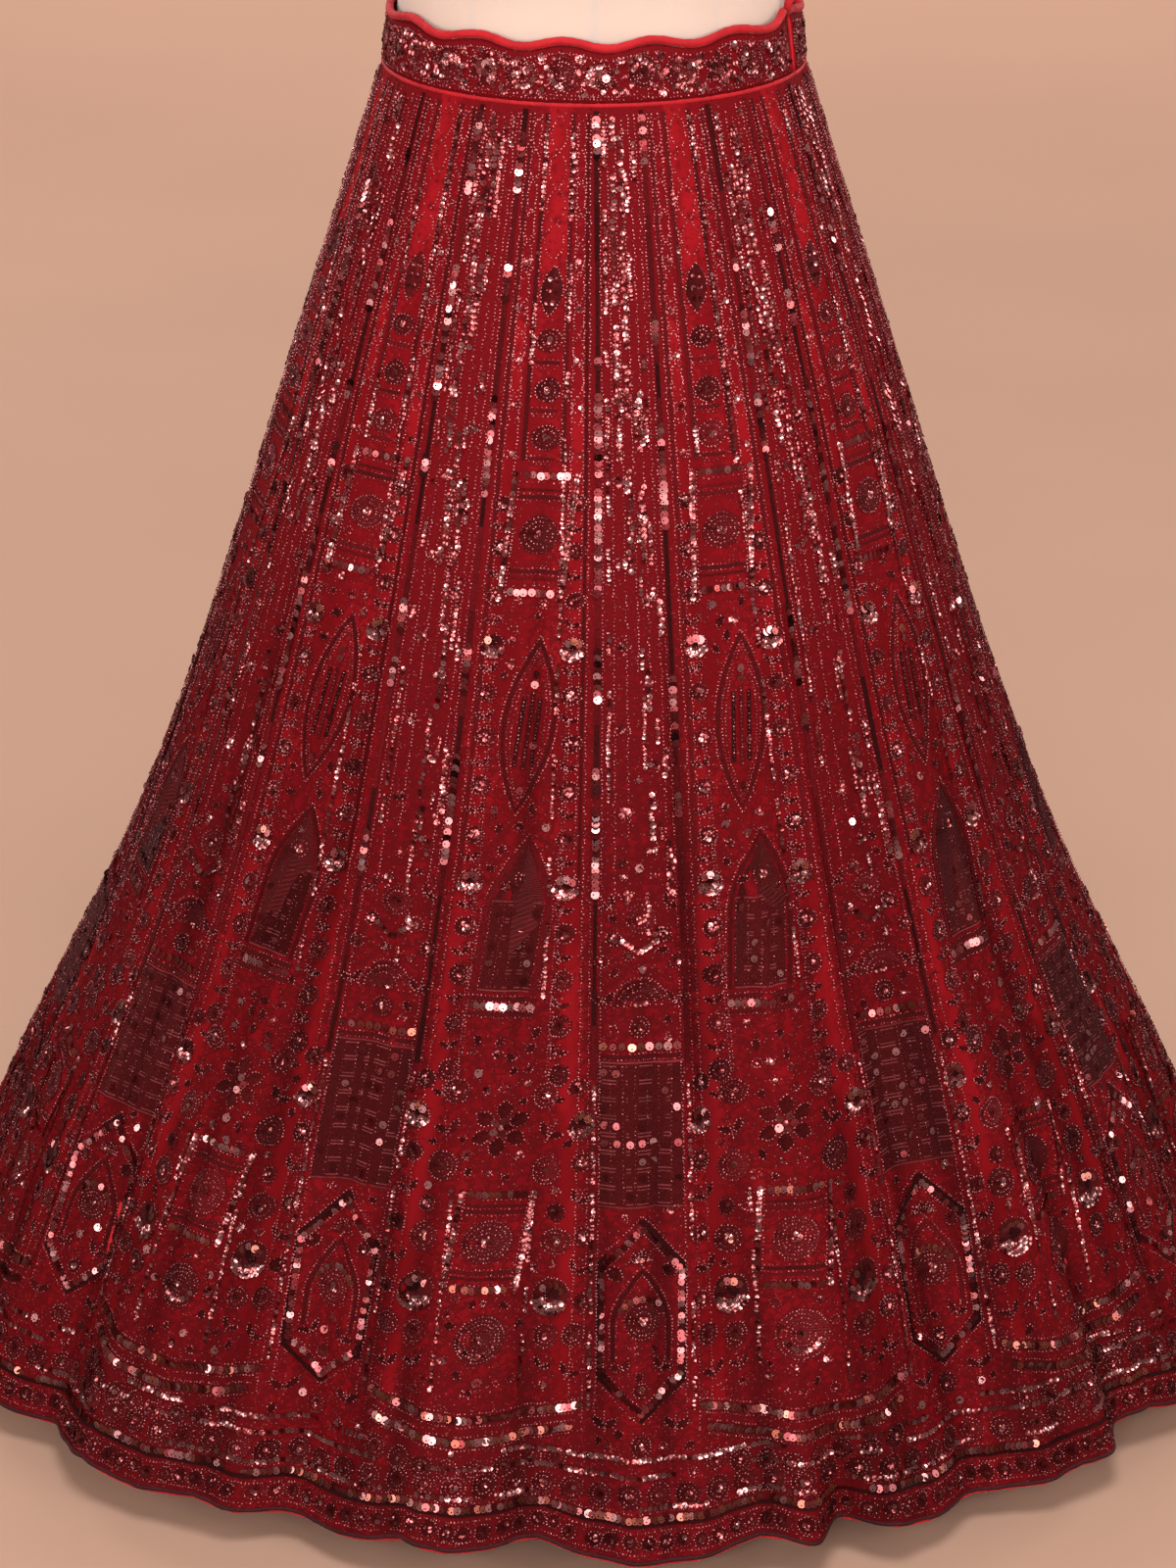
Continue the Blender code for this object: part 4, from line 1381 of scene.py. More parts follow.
def middle_motifs(pattern):
    """The upper motifs, one under another, on the line halfway between two columns."""
    x = float(middle_at(0.13))
    pattern.leaf(pointed_oval(x, 0.112, 0.0070, 0.036), pitch=CLOSE)
    for y in (0.122, 0.130, 0.138):
        pattern.put("cup", x + np.array([-0.002, 0.002]), y, CUP * 0.9, "soft")
    for y, radius in ((0.166, 0.0080), (0.200, 0.0088), (0.234, 0.0092)):
        x = float(middle_at(y))
        rosette(pattern, x, y, radius, "string")
        bar(pattern, x, y + 0.0145, 0.0085, 0.0018)
        pattern.beads([(x - 0.007, y + 0.0185), (x + 0.007, y + 0.0185)], "dusk", WIDE)
    boxed_rosette(pattern, float(middle_at(0.30)), 0.258, 0.0165, 0.088, "string")
    cypress(pattern, float(middle_at(0.44)), 0.378, 0.0160, 0.122)
    domed_lattice(pattern, float(middle_at(0.58)), 0.520, 0.0205, 0.110)


def side_chains(pattern):
    """A chain of small rounds, with sprigs lower down, on each side of that line."""
    for step, y in enumerate(np.arange(0.110, 0.690, 0.034)):
        for side in (-1, 1):
            x = float(middle_at(y)) + side * 0.62 * float(reach_at(y))
            if y < 0.25:
                cluster(pattern, x, y, 0.0042, 1)
            elif step % 5 == 3:
                knot(pattern, x, y, 0.0058 + 0.004 * y)
            else:
                rosette(pattern, x, y, 0.0050 + 0.004 * y)
            if y > 0.25:
                sprig(pattern, x, y + 0.0195, 0.0070 + 0.003 * y, side * 0.25)


def lower_motifs(pattern):
    """The flower, box and rounds near the hem, with the small motifs beside them and the swags."""
    flower(pattern, float(middle_at(0.74)), 0.727, 0.0205)
    for side in (-1, 1):
        side_motifs(pattern, BETWEEN_SIDES, side, lambda y: float(middle_at(y)))
        edge = line_at(lambda y: side * (0.0270 + 0.02 * (y - 0.77)), 0.772, 0.915, middle_at)
        pattern.string(edge, "small", 0.8)
    boxed_rosette(pattern, float(middle_at(0.81)), 0.772, 0.0215, 0.072)
    x = float(middle_at(0.877))
    rosette(pattern, x, 0.877, 0.0180, "coppery")
    pattern.cups(ellipse(x, 0.877, 0.0120, 0.0120, 10.0, 170.0))

    left = float(column_half(0.93)) + 0.002
    right = float(repeat_width(0.93)) - left
    swag(pattern, left, right, 0.9215, 0.0125)
    swag(pattern, left + 0.004, right - 0.004, 0.9375, 0.0125)
    for share in np.linspace(0.07, 0.93, 8):
        y = 0.9580 + 0.0115 * 4 * share * (1 - share)
        rosette(pattern, left + (right - left) * share, y, 0.0080)


def border_work(pattern):
    """Rows that follow the scallops of the hem, laid out by their height over it."""
    width = float(repeat_width(CLOTH_LENGTH))
    half = float(column_half(CLOTH_LENGTH))

    def row(lift, inset=0.0):
        share = np.linspace(0.0, 1.0, 65)
        x = -half + inset + (width - 2 * inset) * share
        return np.stack([x, CLOTH_LENGTH + scallop_down(share) * (1 - lift * 12) - lift], -1)

    pattern.beads(row(0.0045))
    pattern.beads(row(0.0185))
    pattern.ribbon(row(0.0228), 0.0030, "soot")
    pattern.gappy_row("disc", row(0.0262), 0.0036, 0.78, 0.0058, "coppery", 9)
    pattern.beads(row(0.0305), "dusk", EVEN)
    for lift, share in ((0.0335, 0.60), (0.0530, 0.70), (0.0640, 0.55)):
        pattern.gappy_row("cup", row(lift), 0.0036, share, CUP, "crowd", 7)
    for lift, pitch, radius, sparkle in BORDER_ROSETTES:
        x, y, _ = along(row(lift, 0.003), pitch)
        for place in zip(x, y):
            rosette(pattern, *place, radius, sparkle)


def filling(pattern):
    """Leaves, rings and loose knots of beads in the cloth that is still bare, more of them lower down."""
    rng = pattern.rng
    taken = set()
    for rows in pattern.sewn.values():
        for x, y, _, _, _ in rows:
            taken.update(zip((x // CELL).astype(int), (y // CELL).astype(int)))
    near_steps = [(dx * CELL, dy * CELL) for dx in (-1, 0, 1) for dy in (-1, 0, 1)]
    for _ in range(FILLING_TRIES):
        y = 0.24 + (CLOTH_LENGTH - 0.29) * rng.random() ** 0.75
        x = -float(column_half(y)) + 0.005 + (float(repeat_width(y)) - 0.010) * rng.random()
        near = [(int((x + dx) // CELL), int((y + dy) // CELL)) for dx, dy in near_steps]
        if any(place in taken for place in near):
            continue
        taken.update(near)
        kind = rng.random()
        if kind < 0.40:
            leaflet(pattern, x, y, rng.uniform(0.0065, 0.0095), rng.normal(0.0, 0.9))
        elif kind < 0.62:
            radius = rng.uniform(0.0024, 0.0038)
            pattern.beads(ellipse(x, y, radius, radius, steps=10), "dusk", TIGHT)
            pattern.put("cup", x, y, CUP * 0.8, "soft")
        else:
            cluster(pattern, x, y, rng.uniform(0.0025, 0.0045), int(rng.integers(0, 3)))
        if rng.random() < 0.16:
            pattern.put("disc", x, y, DISC, "crowd", rng.uniform(0, 6.28))


def worked_share(x, y):
    """How much of the net is filled with thread at a place of a repeat: 0 plain, 1 full."""
    width = repeat_width(y)
    from_column = np.minimum(np.abs(x), np.abs(width - x)) - column_edge(y)
    from_middle = np.abs(x - width / 2) / (width / 2 - column_edge(y))
    between = np.interp(y, *zip(*BETWEEN_WORK))
    beside = np.clip(1.5 - np.abs(from_column - 0.0100 - 0.008 * y) / (0.0035 + 0.004 * y), 0.0, 1.0)
    plain = np.clip((y - 0.10) / 0.10, 0.0, 1.0) * np.where(y < 0.93, 0.72, 0.2) * beside
    banded = 0.20 * np.clip((0.30 - y) / 0.06, 0.0, 1.0) * np.clip((from_middle - 0.30) / 0.08, 0.0, 1.0)
    column = 0.86 - 0.28 * np.clip((y - 0.30) / 0.40, 0.0, 1.0)
    share = np.where(from_column < 0.0035, column, between + banded)
    return share * (1 - plain)


def kali_pattern(seed):
    """All the work of one panel, in the order in which it is sewn."""
    pattern = Pattern(seed)
    column_work(pattern)
    between_strings(pattern)
    middle_motifs(pattern)
    side_chains(pattern)
    lower_motifs(pattern)
    border_work(pattern)
    filling(pattern)
    return pattern


def band_pattern(length, seed):
    """The waistband's work, x metres along it and y metres down from its top edge."""
    pattern = Pattern(seed)
    rng = pattern.rng

    def bead_row(y, mixture):
        pattern.beads([(0.003, y), (length - 0.003, y)], mixture, EVEN)

    bead_row(0.0050, "beads")
    pattern.ribbon([(0.002, 0.0030), (length / 2, 0.0030), (length - 0.002, 0.0030)], 0.0012)
    for lift in (0.0042, 0.0066):
        bead_row(BAND_HEIGHT - lift, "dusk")
    steps = max(int(length / 0.0265), 1)
    middle = BAND_HEIGHT * 0.47
    for step in range(steps):
        x = length * (step + 0.5) / steps
        if step % 3 == 1:
            flower(pattern, x, middle, 0.0120, "string")
        else:
            rosette(pattern, x, middle, 0.0112 + 0.001 * (step % 2), "string")
        start = 20.0 + 70 * step
        pattern.cups(ellipse(x, middle, 0.0080, 0.0080, start, start + 130.0), pitch=OPEN)
        if step < steps - 1:
            for share in (0.20, 0.78):
                cluster(pattern, x + length / steps / 2, BAND_HEIGHT * share, 0.0042, 4)
    count = int(length * 540)
    x = rng.uniform(0.004, length - 0.004, count)
    y = rng.uniform(0.006, BAND_HEIGHT - 0.008, count)
    pattern.put("cup", x, y, CUP * rng.uniform(0.8, 1.1, count), "string", rng.uniform(0, 6.28, count))
    x = rng.uniform(0.003, length - 0.003, count * 3)
    y = rng.uniform(0.004, BAND_HEIGHT - 0.005, count * 3)
    pattern.put("bead", x, y, BEAD, "beads")
    return pattern


# ---------------------------------------------------------------- sewing it on


def circle(count, start=0.0):
    """Points round a circle of radius 1."""
    angle = np.radians(np.arange(count) * 360.0 / count + start)
    return np.stack([np.cos(angle), np.sin(angle), np.zeros(count)], -1)


def rim_faces(corners):
    """Faces between a rim and a hole in it that has half as many corners."""
    holes = corners // 2
    faces = []
    for hole in range(holes):
        first, middle, last = 2 * hole, 2 * hole + 1, (2 * hole + 2) % corners
        inner, after = corners + hole, corners + (hole + 1) % holes
        faces += [(first, middle, inner), (middle, after, inner), (middle, last, after)]
    return faces


def bead_shape():
    """A seed bead as a small pyramid."""
    rim = circle(3, 90.0) * 0.58 + np.array([0.0, 0.0, -0.05])
    points = np.concatenate([rim, [(0.0, 0.0, 0.44)]])
    return points, np.array([(0, 1, 3), (1, 2, 3), (2, 0, 3)]), np.ones(4)


def cup_shape():
    """A small cupped sequin with a dark hole in its middle."""
    ring = circle(6)
    rim = ring * 0.5 + np.array([0.0, 0.0, CUP_DEPTH])
    edge = ring[::2] * 0.15
    points = np.concatenate([rim, edge, edge])
    return points, np.array([(9, 10, 11), *rim_faces(6)]), np.array([1.0] * 9 + [HOLE_SHADE] * 3)


def disc_shape():
    """A large flat sequin with its hole off centre, near the edge that is sewn down."""
    rim = circle(8, 22.5) * 0.5
    hole = rim[::2] * 0.26 + np.array([0.0, -0.20, 0.0])
    return np.concatenate([rim, hole]), np.array(rim_faces(8)), np.ones(12)


def tones_of(mixture, count, rng):
    names, shares = zip(*MIXTURES[mixture])
    shares = np.array(shares)
    picked = rng.choice(len(names), count, p=shares / shares.sum())
    colours = np.array([TONES[name] for name in names])[picked]
    return colours * rng.uniform(0.75, 1.2, (count, 1))


def sway(count, rng):
    """Leans that change slowly along a row, so that its neighbours catch the light together."""
    knots = rng.normal(0.0, 1.0, (2, count // SWAY_RUN + 2))
    at = np.arange(count) / SWAY_RUN
    return np.stack([np.interp(at, np.arange(knots.shape[1]), knot) for knot in knots])


def copies_of(points, place, right, lower, facing, size):
    """A shape's points at each place, turned to face outward and scaled."""
    turned_points = (
        points[:, 0][None, :, None] * right[:, None]
        + points[:, 1][None, :, None] * lower[:, None]
        + points[:, 2][None, :, None] * facing[:, None]
    )
    return (turned_points * size + place[:, None]).reshape(-1, 3)


def scattered(shapes, ground, rng):
    """Joins copies of shapes over the cloth. Each set is (shape, rows, height, sway, tilt)."""
    all_points, all_faces, all_tints = [], [], []
    first = 0
    for (points, faces, shade), rows, height, swing, tilt in shapes:
        if not rows:
            continue
        x, y, size, spin = (np.concatenate([row[i] for row in rows]) for i in range(4))
        tint = np.concatenate([tones_of(row[4], len(row[0]), rng) for row in rows])
        count = len(x)
        x = x + rng.normal(0.0, STRAY, count)
        y = y + rng.normal(0.0, STRAY, count)
        place, across, down, out, light = ground(x, y)
        # Painted shade: each copy's colour is darkened by the painted crease and hem shade of the ground.
        tint *= light[:, None]
        leans = swing * np.concatenate([sway(len(row[0]), rng) for row in rows], axis=1)
        leans = (leans + rng.normal(0.0, tilt, (2, count))) * (1.0 + HEM_SWAY * np.clip(y, 0.0, 1.0))
        leans = leans[..., None]
        facing = unit(out + leans[0] * across + leans[1] * down)
        right = across * np.cos(spin)[:, None] + down * np.sin(spin)[:, None]
        right = unit(right - facing * (right * facing).sum(-1, keepdims=True))
        lower = np.cross(facing, right)
        size = (size * rng.uniform(0.92, 1.08, count))[:, None, None]
        lift = height * rng.uniform(0.8, 1.2, count)
        all_points.append(copies_of(points, place + out * lift[:, None], right, lower, facing, size))
        starts = first + np.arange(count)[:, None, None] * len(points)
        all_faces.append((faces[None] + starts).reshape(-1, 3))
        colour = tint[:, None] * shade[None, :, None]
        all_tints.append(np.concatenate([colour, np.ones((count, len(points), 1))], -1).reshape(-1, 4))
        first += count * len(points)
    return np.concatenate(all_points), np.concatenate(all_faces), np.concatenate(all_tints)


def facing_out(faces, points, out):
    """The faces in the order of points that turns each one away from the cloth."""
    corners = points[faces]
    normals = np.cross(corners[:, 2] - corners[:, 0], corners[:, 3] - corners[:, 1])
    inward = (normals * out[faces[:, 0]]).sum(-1) < 0
    return np.where(inward[:, None], faces[:, ::-1], faces)


def sew_thread(name, pattern, ground, rng, finish):
    """Makes the thread work of one piece of cloth."""
    flats = np.concatenate([patch[0] for patch in pattern.thread])
    raised = np.concatenate([patch[1] for patch in pattern.thread])
    place, _, _, out, light = ground(flats[:, 0], flats[:, 1])
    points = place + out * (THREAD_OUT + raised)[:, None]
    first = 0
    faces, tints, stitches = [], [], []
    for flat, _, stitch, quads, tone in pattern.thread:
        faces.append(quads + first)
        shade = np.array(TONES[tone]) * rng.uniform(0.7, 1.25)
        tints.append(np.tile([*shade, 1.0], (len(flat), 1)))
        stitches.append(np.concatenate([stitch, np.full((len(flat), 1), rng.random())], 1))
        first += len(flat)
    thread = mesh_piece(f"{name}_thread", points, facing_out(np.concatenate(faces), points, out), [finish])
    # Painted shade: the thread's colour is darkened by the painted crease and hem shade of the ground.
    point_values(thread, "tint", "FLOAT_COLOR", np.concatenate(tints) * light[:, None])
    point_values(thread, "stitch", "FLOAT_VECTOR", np.concatenate(stitches))
    return thread


def sew(name, pattern, ground, seed, finishes):
    """Makes the thread work, the beads and the sequins of one piece of cloth."""
    rng = np.random.default_rng(seed)
    made = [sew_thread(name, pattern, ground, rng, finishes["thread"])]
    sets = {
        "beads": [(bead_shape(), pattern.sewn["bead"], BEAD_OUT, 0.0, 0.2)],
        "sequins": [
            (cup_shape(), pattern.sewn["cup"], CUP_OUT, 0.23, 0.080),
            (disc_shape(), pattern.sewn["disc"], DISC_OUT, 0.18, 0.10),
        ],
    }
    for kind, shapes in sets.items():
        points, faces, tints = scattered(shapes, ground, rng)
        piece = mesh_piece(f"{name}_{kind}", points, faces, [finishes[kind]])
        point_values(piece, "tint", "FLOAT_COLOR", tints)
        made.append(piece)
    for piece in made:
        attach(piece, "root")
    return made


# ---------------------------------------------------------------- the pieces


def belongs(piece, node):
    """The piece takes a solid's place, and the part's one body."""
    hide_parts(node)
    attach(piece, "root")


def kali_cloth(kali, finishes):
    """The net of one panel, from the waist seam to the hem piping."""
    columns, rows = KALI_GRID
    share, fall = grid(columns, rows)
    top = (SEAM_PIPING_RADIUS * 0.6) / SKIRT_LENGTH
    bottom = 1.0 - HEM_PIPING_RADIUS * 0.8 / SKIRT_LENGTH
    turn, drop = kali_place(kali, share, top + (bottom - top) * fall)
    place, _, _, out = skirt_frames(turn, drop)
    width = ring_girth(*skirt_ring(drop)) / KALIS
    from_seam = np.minimum(share, 1.0 - share) * width
    tuck = SEAM_TUCK * np.clip(1.0 - from_seam / SEAM_TUCK_WIDTH, 0.0, 1.0)
    points = place + out * (CLOTH_OUT - tuck)[:, None]
    made = mesh_piece(f"kali_{kali + 1:02d}_cloth", points, grid_faces(columns, rows), [finishes["net"]])
    x = (turn - column_turn(kali)) / 360.0 * width * KALIS
    y = down_at(drop)
    point_values(made, "place", "FLOAT_VECTOR", np.stack([x, y, worked_share(x, y)], -1))
    # Painted shade and light: the fold attribute darkens the cloth in crease hollows and lightens it on
    # ridges.
    point_shade(made, "fold", painted_crease_shade(turn, drop))
    return made


def kali_ground(kali):
    """Where flat places of a panel's work are on the skirt, and the painted shade over them."""

    def ground(x, y):
        drop = drop_at(y)
        turn = column_turn(kali) + 360.0 * x / ring_girth(*skirt_ring(drop))
        place, across, down, out = skirt_frames(turn, drop)
        # Painted shade: the crease shade times a painted shade that darkens the work towards the hem.
        return place + out * CLOTH_OUT, across, down, out, painted_crease_shade(turn, drop) * (1.0 - HEM_PAINTED_SHADE * y)

    return ground


def build_kalis(finishes):
    middle = repeat_width(CLOTH_LENGTH / 2)
    cut = (float(repeat_width(CLOTH_LENGTH)), CLOTH_LENGTH)
    for kali in range(KALIS):
        node = f"kali_{kali + 1:02d}"
        cloth = kali_cloth(kali, finishes)
        belongs(cloth, node)
        seed = 100 + kali
        work = sew(node, kali_pattern(kali), kali_ground(kali), seed, finishes)


def build_lining(finishes):
    """The red lining inside the panels, which shows under the hem and from below."""
    columns, rows = LINING_GRID
    columns *= KALIS
    run, fall = np.meshgrid(np.arange(columns), np.linspace(0.0, 1.0, rows + 1))
    run, fall = run.ravel(), fall.ravel()
    kali = run // LINING_GRID[0]
    share = (run % LINING_GRID[0]) / LINING_GRID[0]
    turn, drop = kali_place(kali, share, 0.004 + 0.996 * fall)
    drop = drop + FACING_SHOWS / SKIRT_LENGTH * fall**20
    place, _, _, out = skirt_frames(turn, drop)
    points = place - out * (LINING_IN + 0.0016 * fall**20)[:, None]
    made = mesh_piece("lining", points, grid_faces(columns, rows, closed=True), [finishes["lining"]])
    belongs(made, "hem_facing")
    girth = float(ring_girth(*skirt_ring(1.0)))
    area = float(ring_girth(*skirt_ring(0.5))) * CLOTH_LENGTH


def band_piece(name, start, end, seed, finishes):
    """One piece of the waistband. start and end are turns at its top edge, given by their gaps."""
    rows = BAND_GRID_ROWS
    length = float(end(1.0) - start(1.0)) / 360.0 * BAND_TOP_GIRTH
    columns = int(length / BAND_GRID_STEP)
    bottom = SEAM_PIPING_RADIUS * 0.7 / BAND_HEIGHT
    share, rise = grid(columns, rows, first=1.0, last=bottom)

    def surface(s, r):
        return on_band(start(r) + (end(r) - start(r)) * s, r)

    looks = [finishes["band"], finishes["lining"]]
    cloth = mesh_piece(f"{name}_cloth", surface(share, rise), grid_faces(columns, rows), looks)
    fold = np.clip(np.minimum(share, 1 - share) * length / 0.004, 0.0, 1.0)
    point_values(cloth, "place", "FLOAT_VECTOR", np.stack([share * length, rise * BAND_HEIGHT, fold], -1))
    # The band gets no painted crease shade.
    point_shade(cloth, "fold", np.ones(len(share)))
    thicken = cloth.modifiers.new("wall", "SOLIDIFY")
    thicken.thickness = BAND_WALL
    thicken.offset = 0.0
    thicken.material_offset = 1
    thicken.material_offset_rim = 1

    def ground(x, y):
        r = 1.0 - y / BAND_HEIGHT
        place, across, down, out = frames_on(
            lambda u, v: surface(u, 1.0 - v), x / length, 1.0 - r, 0.0006, 0.01
        )
        return place + out * BAND_WALL / 2, across, down, out, np.ones_like(x)

    work = sew(name, band_pattern(length, seed), ground, seed, finishes)
    belongs(cloth, name)


def build_band(finishes):
    """The waistband's two pieces, which meet at the side seam and part at the placket."""
    side = metres_to_turn(SEAM_GAP / 2)

    def front_start(rise):
        return SIDE_SEAM_TURN + side

    def front_end(rise):
        return PLACKET_TURN - placket_half_gap(rise)

    def back_start(rise):
        return PLACKET_TURN + placket_half_gap(rise)

    def back_end(rise):
        return SIDE_SEAM_TURN + 360.0 - side

    band_piece("waistband_front", front_start, front_end, 31, finishes)
    band_piece("waistband_back", back_start, back_end, 32, finishes)


def uneven(count, closed, seed, amount, waves):
    """Radii that swell and narrow a little along a cord, 1 on the average."""
    rng = np.random.default_rng(seed)
    at = np.linspace(0.0, 2 * math.pi, count, endpoint=not closed)
    total = np.zeros(count)
    for wave in waves:
        total += np.sin(at * wave + rng.uniform(0, 6.28)) / len(waves)
    return 1.0 + amount * total


def top_piping_path(step):
    """The line of the top piping, round the band and up into its loose loop."""
    lift = np.array([0.0, 0.0, TOP_PIPING_RADIUS + SEAM_GAP])
    gap = float(placket_half_gap(1.0))
    turns = np.arange(PLACKET_TURN - gap, PLACKET_TURN + gap - 360.0, -step)
    points = on_band(turns, np.ones_like(turns)) + lift
    along_end = unit(points[-1] - points[-2])
    outward = unit(np.cross(along_end, [0.0, 0.0, 1.0]))
    if outward[0] < 0:
        outward = -outward
    centre = points[-1] + np.array([0.0, 0.0, LOOP_RADIUS])
    share = np.linspace(0.0, 1.0, 25)[1:, None]
    angle = np.radians(LOOP_TURN) * share
    swing = along_end * np.sin(angle) - np.array([0.0, 0.0, 1.0]) * np.cos(angle)
    return np.concatenate([points, centre + swing * LOOP_RADIUS + outward * LOOP_RADIUS * share])


def build_pipings(finishes):
    """The three cords: on the band's top edge, in the waist seam and along the scallops."""
    path = top_piping_path(0.8)
    radii = TOP_PIPING_RADIUS * uneven(len(path), False, 3, 0.10, (23, 57, 91, 140))
    top = tube_piece("waist_piping_top_cord", path, radii, 14, [finishes["red"]])
    belongs(top, "waist_piping_top")

    gap = float(placket_half_gap(0.0)) + metres_to_turn(SEAM_GAP)
    turns = np.linspace(PLACKET_TURN + gap, PLACKET_TURN + 360.0 - gap, 420)
    path = on_band(turns, np.zeros_like(turns))
    radii = SEAM_PIPING_RADIUS * uneven(len(path), False, 4, 0.12, (31, 83, 127))
    seam = tube_piece("waist_piping_seam_cord", path, radii, 10, [finishes["red"]])
    belongs(seam, "waist_piping_seam")

    steps = 64
    run = np.arange(KALIS * steps)
    turn, drop = kali_place(run // steps, (run % steps) / steps, np.ones(len(run)))
    path = on_cloth(turn, drop)
    radii = HEM_PIPING_RADIUS * uneven(len(path), True, 5, 0.10, (61, 149, 233))
    hem = tube_piece("hem_piping_cord", path, radii, 8, [finishes["maroon"]], closed=True)
    belongs(hem, "hem_piping")


# ---------------------------------------------------------------- the dress form

FORM_FOOT_Z = 0.780
NECK_TOP_Z = 1.520
FORM_WAIST_INSET = TOP_PIPING_RADIUS + BAND_RIPPLE + 0.0006
FORM_WAIST_HALF_WIDTH = BAND_TOP_HALF_WIDTH - FORM_WAIST_INSET
FORM_WAIST_HALF_DEPTH = BAND_TOP_HALF_WIDTH * WAIST_DEPTH_SHARE - FORM_WAIST_INSET
#       (z, half_width, front, back)
TORSO = [
    (FORM_FOOT_Z, 0.140, 0.098, 0.106),
    (FORM_FOOT_Z + 0.010, 0.152, 0.108, 0.118),
    (0.830, 0.162, 0.115, 0.128),
    (0.880, 0.160, 0.115, 0.128),
    (0.935, 0.152, 0.112, 0.119),
    (0.985, 0.1445, 0.1075, 0.1090),
    (1.020, FORM_WAIST_HALF_WIDTH, FORM_WAIST_HALF_DEPTH, FORM_WAIST_HALF_DEPTH),
    (1.052, FORM_WAIST_HALF_WIDTH, FORM_WAIST_HALF_DEPTH, FORM_WAIST_HALF_DEPTH),
    (1.085, 0.1450, 0.1110, 0.1090),
    (1.130, 0.152, 0.120, 0.112),
    (1.190, 0.163, 0.136, 0.117),
    (1.245, 0.170, 0.145, 0.120),
    (1.300, 0.171, 0.134, 0.121),
    (1.350, 0.171, 0.110, 0.117),
    (1.390, 0.163, 0.088, 0.104),
    (1.418, 0.136, 0.071, 0.087),
    (1.440, 0.098, 0.060, 0.070),
    (1.460, 0.068, 0.053, 0.058),
    (1.485, 0.056, 0.051, 0.053),
    (NECK_TOP_Z, 0.053, 0.050, 0.051),
]
PANEL_SEAMS = (0.0, 38.0, 90.0, 142.0, 180.0, 218.0, 270.0, 322.0)
PANEL_SEAM_HALF_TURN = 1.3
PANEL_TUCK = 0.0006
PANEL_SEAM_SHADE = 0.55
TORSO_SIDES = 144
TORSO_RINGS = 120


def build_torso(finishes):
    """The padded canvas torso, with a shallow tuck at each panel seam."""
    z = np.linspace(FORM_FOOT_Z, NECK_TOP_Z, TORSO_RINGS)
    rings = read_table(TORSO, z)
    angle = np.radians(np.arange(TORSO_SIDES) * 360.0 / TORSO_SIDES)
    forward = np.cos(angle)
    reach = np.where(forward > 0, rings[:, 1:2], rings[:, 2:3])
    away = np.min([np.abs((np.degrees(angle) - s + 180) % 360 - 180) for s in PANEL_SEAMS], 0)
    tuck = np.clip(1.0 - away / PANEL_SEAM_HALF_TURN, 0.0, 1.0)
    width = (rings[:, 0:1] - PANEL_TUCK * tuck) * np.sin(angle)
    depth = -(reach - PANEL_TUCK * tuck) * forward
    height = np.repeat(z[:, None], TORSO_SIDES, 1)
    points = np.stack([width, depth, height], -1).reshape(-1, 3)
    faces = grid_faces(TORSO_SIDES, TORSO_RINGS - 1, closed=True)[:, ::-1]
    ends = []
    for ring, centre, flip in ((0, len(points), False), (TORSO_RINGS - 1, len(points) + 1, True)):
        here = np.arange(0, TORSO_SIDES, 2) + ring * TORSO_SIDES
        middle = here + 1
        after = (here + 2 - ring * TORSO_SIDES) % TORSO_SIDES + ring * TORSO_SIDES
        cap = np.stack([here, middle, after, np.full_like(here, centre)], -1)
        ends.append(cap if flip else cap[:, ::-1])
    points = np.concatenate([points, [(0.0, 0.0, FORM_FOOT_Z), (0.0, 0.0, NECK_TOP_Z)]])
    made = mesh_piece("form_torso_canvas", points, np.concatenate([faces, *ends]), [finishes["canvas"]])
    seam = np.concatenate([np.tile(tuck, TORSO_RINGS), [0.0, 0.0]])
    point_shade(made, "tint", seam * PANEL_SEAM_SHADE)
    belongs(made, "form_torso")


def build_stand(finishes):
    """The neck cap and the stand show their own solids, in enamel."""
    for node in ("form_neck_cap", "form_stand"):
        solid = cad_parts[node]
        solid.data.materials.clear()
        solid.data.materials.append(finishes["enamel"])


# ---------------------------------------------------------------- studio


SWEEP_REACH = 7.0
SWEEP_CURVE = 2.0
SWEEP_TOP = 6.5
SWEEP_TURNS = 72
FLOOR_RINGS = [0.4, 1.0, 2.0, 3.0, 4.5, 6.0]


def build_studio(finishes):
    """A round paper sweep: a level floor that curves up into a wall on every side."""
    angle = np.radians(np.linspace(0.0, 90.0, 13))
    curve = SWEEP_REACH + SWEEP_CURVE * np.sin(angle)
    radius = np.array([*FLOOR_RINGS, *curve, SWEEP_REACH + SWEEP_CURVE])
    height = np.array([0.0] * len(FLOOR_RINGS) + [*(SWEEP_CURVE * (1 - np.cos(angle))), SWEEP_TOP])
    turn = np.arange(SWEEP_TURNS) * 2 * math.pi / SWEEP_TURNS
    rings = [
        np.stack([ring * np.cos(turn), ring * np.sin(turn), np.full(SWEEP_TURNS, z)], -1)
        for ring, z in zip(radius, height)
    ]
    points = np.concatenate([*rings, [(0.0, 0.0, 0.0)]])
    here = np.arange(0, SWEEP_TURNS, 2)
    after = (here + 2) % SWEEP_TURNS
    middle = np.stack([here, here + 1, after, np.full_like(here, len(points) - 1)], -1)
    wall = grid_faces(SWEEP_TURNS, len(radius) - 1, closed=True)[:, ::-1]
    faces = np.concatenate([wall, middle])
    sweep = mesh_piece("studio_sweep", points, faces, [finishes["studio"]])
    sweep.visible_glossy = False


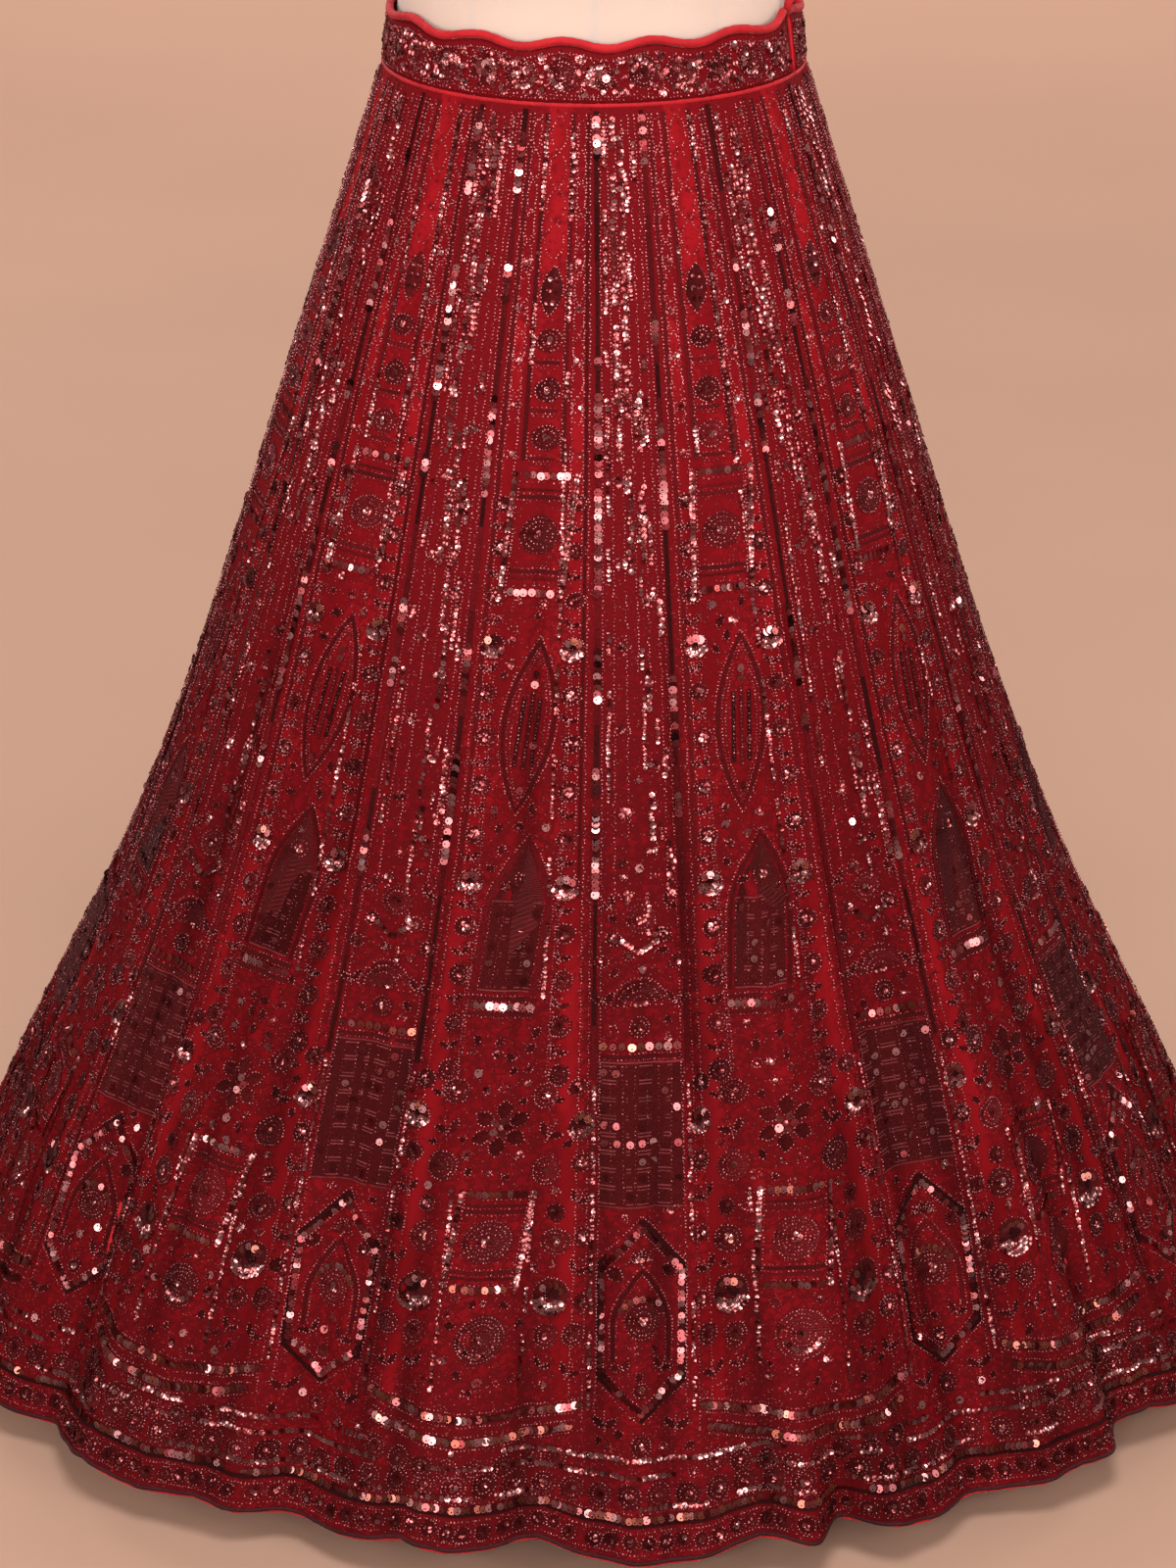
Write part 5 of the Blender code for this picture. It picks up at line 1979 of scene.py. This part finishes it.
# Round lights
#       (name, place, target, diameter, watts)
LIGHTS = [
    ("key", (-0.45, -3.9, 1.95), (0.0, 0.0, 0.66), 1.2, 38.0),
    ("low_key", (0.30, -3.9, 1.05), (0.0, 0.0, 0.40), 1.0, 17.0),
    ("spark_left", (-1.7, -3.4, 1.4), (0.0, 0.0, 0.50), 0.6, 8.0),
    ("spark_right", (1.6, -3.5, 1.7), (0.0, 0.0, 0.50), 0.6, 8.0),
    ("spark_high", (0.55, -3.7, 2.9), (0.0, 0.0, 0.50), 0.6, 8.0),
    ("spark_low", (-0.75, -3.8, 0.85), (0.0, 0.0, 0.30), 0.7, 9.0),
    ("spark_low_right", (1.1, -3.6, 1.15), (0.0, 0.0, 0.30), 0.7, 8.0),
    ("fill_left", (-3.0, -2.2, 1.6), (0.0, 0.0, 0.60), 1.0, 21.0),
    ("fill_right", (3.0, -2.2, 1.8), (0.0, 0.0, 0.60), 1.0, 21.0),
    ("side_left", (-3.4, -0.2, 1.5), (0.0, 0.0, 0.80), 1.1, 17.0),
    ("side_right", (3.4, -0.1, 1.6), (0.0, 0.0, 0.80), 1.1, 17.0),
    ("overhead", (0.1, -1.2, 3.1), (0.0, -0.1, 0.90), 1.2, 48.0),
    ("back_left", (-2.2, 2.8, 2.2), (0.0, 0.0, 0.60), 1.2, 32.0),
    ("back_right", (2.6, 2.4, 2.0), (0.0, 0.0, 0.60), 1.2, 28.0),
    ("far_floor", (0.0, 5.2, 4.6), (0.0, 4.6, 0.0), 3.0, 136.0),
]
AIR_COLOUR = (1.0, 0.80, 0.74, 1.0)
AIR_STRENGTH = 0.06


def add_light(name, place, target, size, power):
    light = bpy.data.lights.new(name, "AREA")
    light.shape = "DISK"
    light.size = size
    light.energy = power
    made = bpy.data.objects.new(name, light)
    made.location = place
    aim = np.asarray(target, float) - np.asarray(place, float)
    made.rotation_mode = "QUATERNION"
    made.rotation_quaternion = Vector(aim).to_track_quat("-Z", "Y")
    bpy.context.scene.collection.objects.link(made)


def build_lights():
    for row in LIGHTS:
        add_light(*row)
    world = bpy.data.worlds.new("studio_air")
    world.use_nodes = True
    shade = world.node_tree.nodes["Background"]
    shade.inputs["Color"].default_value = AIR_COLOUR
    shade.inputs["Strength"].default_value = AIR_STRENGTH
    bpy.context.scene.world = world


CAMERA_PLACE = (-0.0042, -3.0, 1.668)
CAMERA_PITCH_DOWN = 22.46
CAMERA_LENS = 96.4
CAMERA_SENSOR = 36.0


def build_camera():
    camera = bpy.data.cameras.new("camera")
    camera.lens = CAMERA_LENS
    camera.sensor_width = CAMERA_SENSOR
    camera.clip_start = 0.05
    camera.clip_end = 60.0
    made = bpy.data.objects.new("camera", camera)
    made.location = CAMERA_PLACE
    made.rotation_euler = (math.radians(90.0 - CAMERA_PITCH_DOWN), 0.0, 0.0)
    bpy.context.scene.collection.objects.link(made)
    bpy.context.scene.camera = made
    bpy.context.scene.view_settings.view_transform = "Standard"


def main():
    finishes = {
        "net": net_finish(),
        "thread": thread_finish(),
        "beads": bead_finish(),
        "sequins": sequin_finish(),
        "red": crepe_finish("red_crepe", PIPING_RED, 0.08),
        "maroon": crepe_finish("maroon_crepe", PIPING_MAROON, 0.03),
        "lining": crepe_finish("lining_crepe", LINING_RED, 0.05),
        "canvas": canvas_finish(),
        "enamel": enamel_finish(),
        "studio": studio_finish(),
    }
    finishes["band"] = finishes["net"]
    build_camera()
    build_lights()
    build_studio(finishes)
    build_kalis(finishes)
    build_lining(finishes)
    build_band(finishes)
    build_pipings(finishes)
    build_torso(finishes)
    build_stand(finishes)


main()
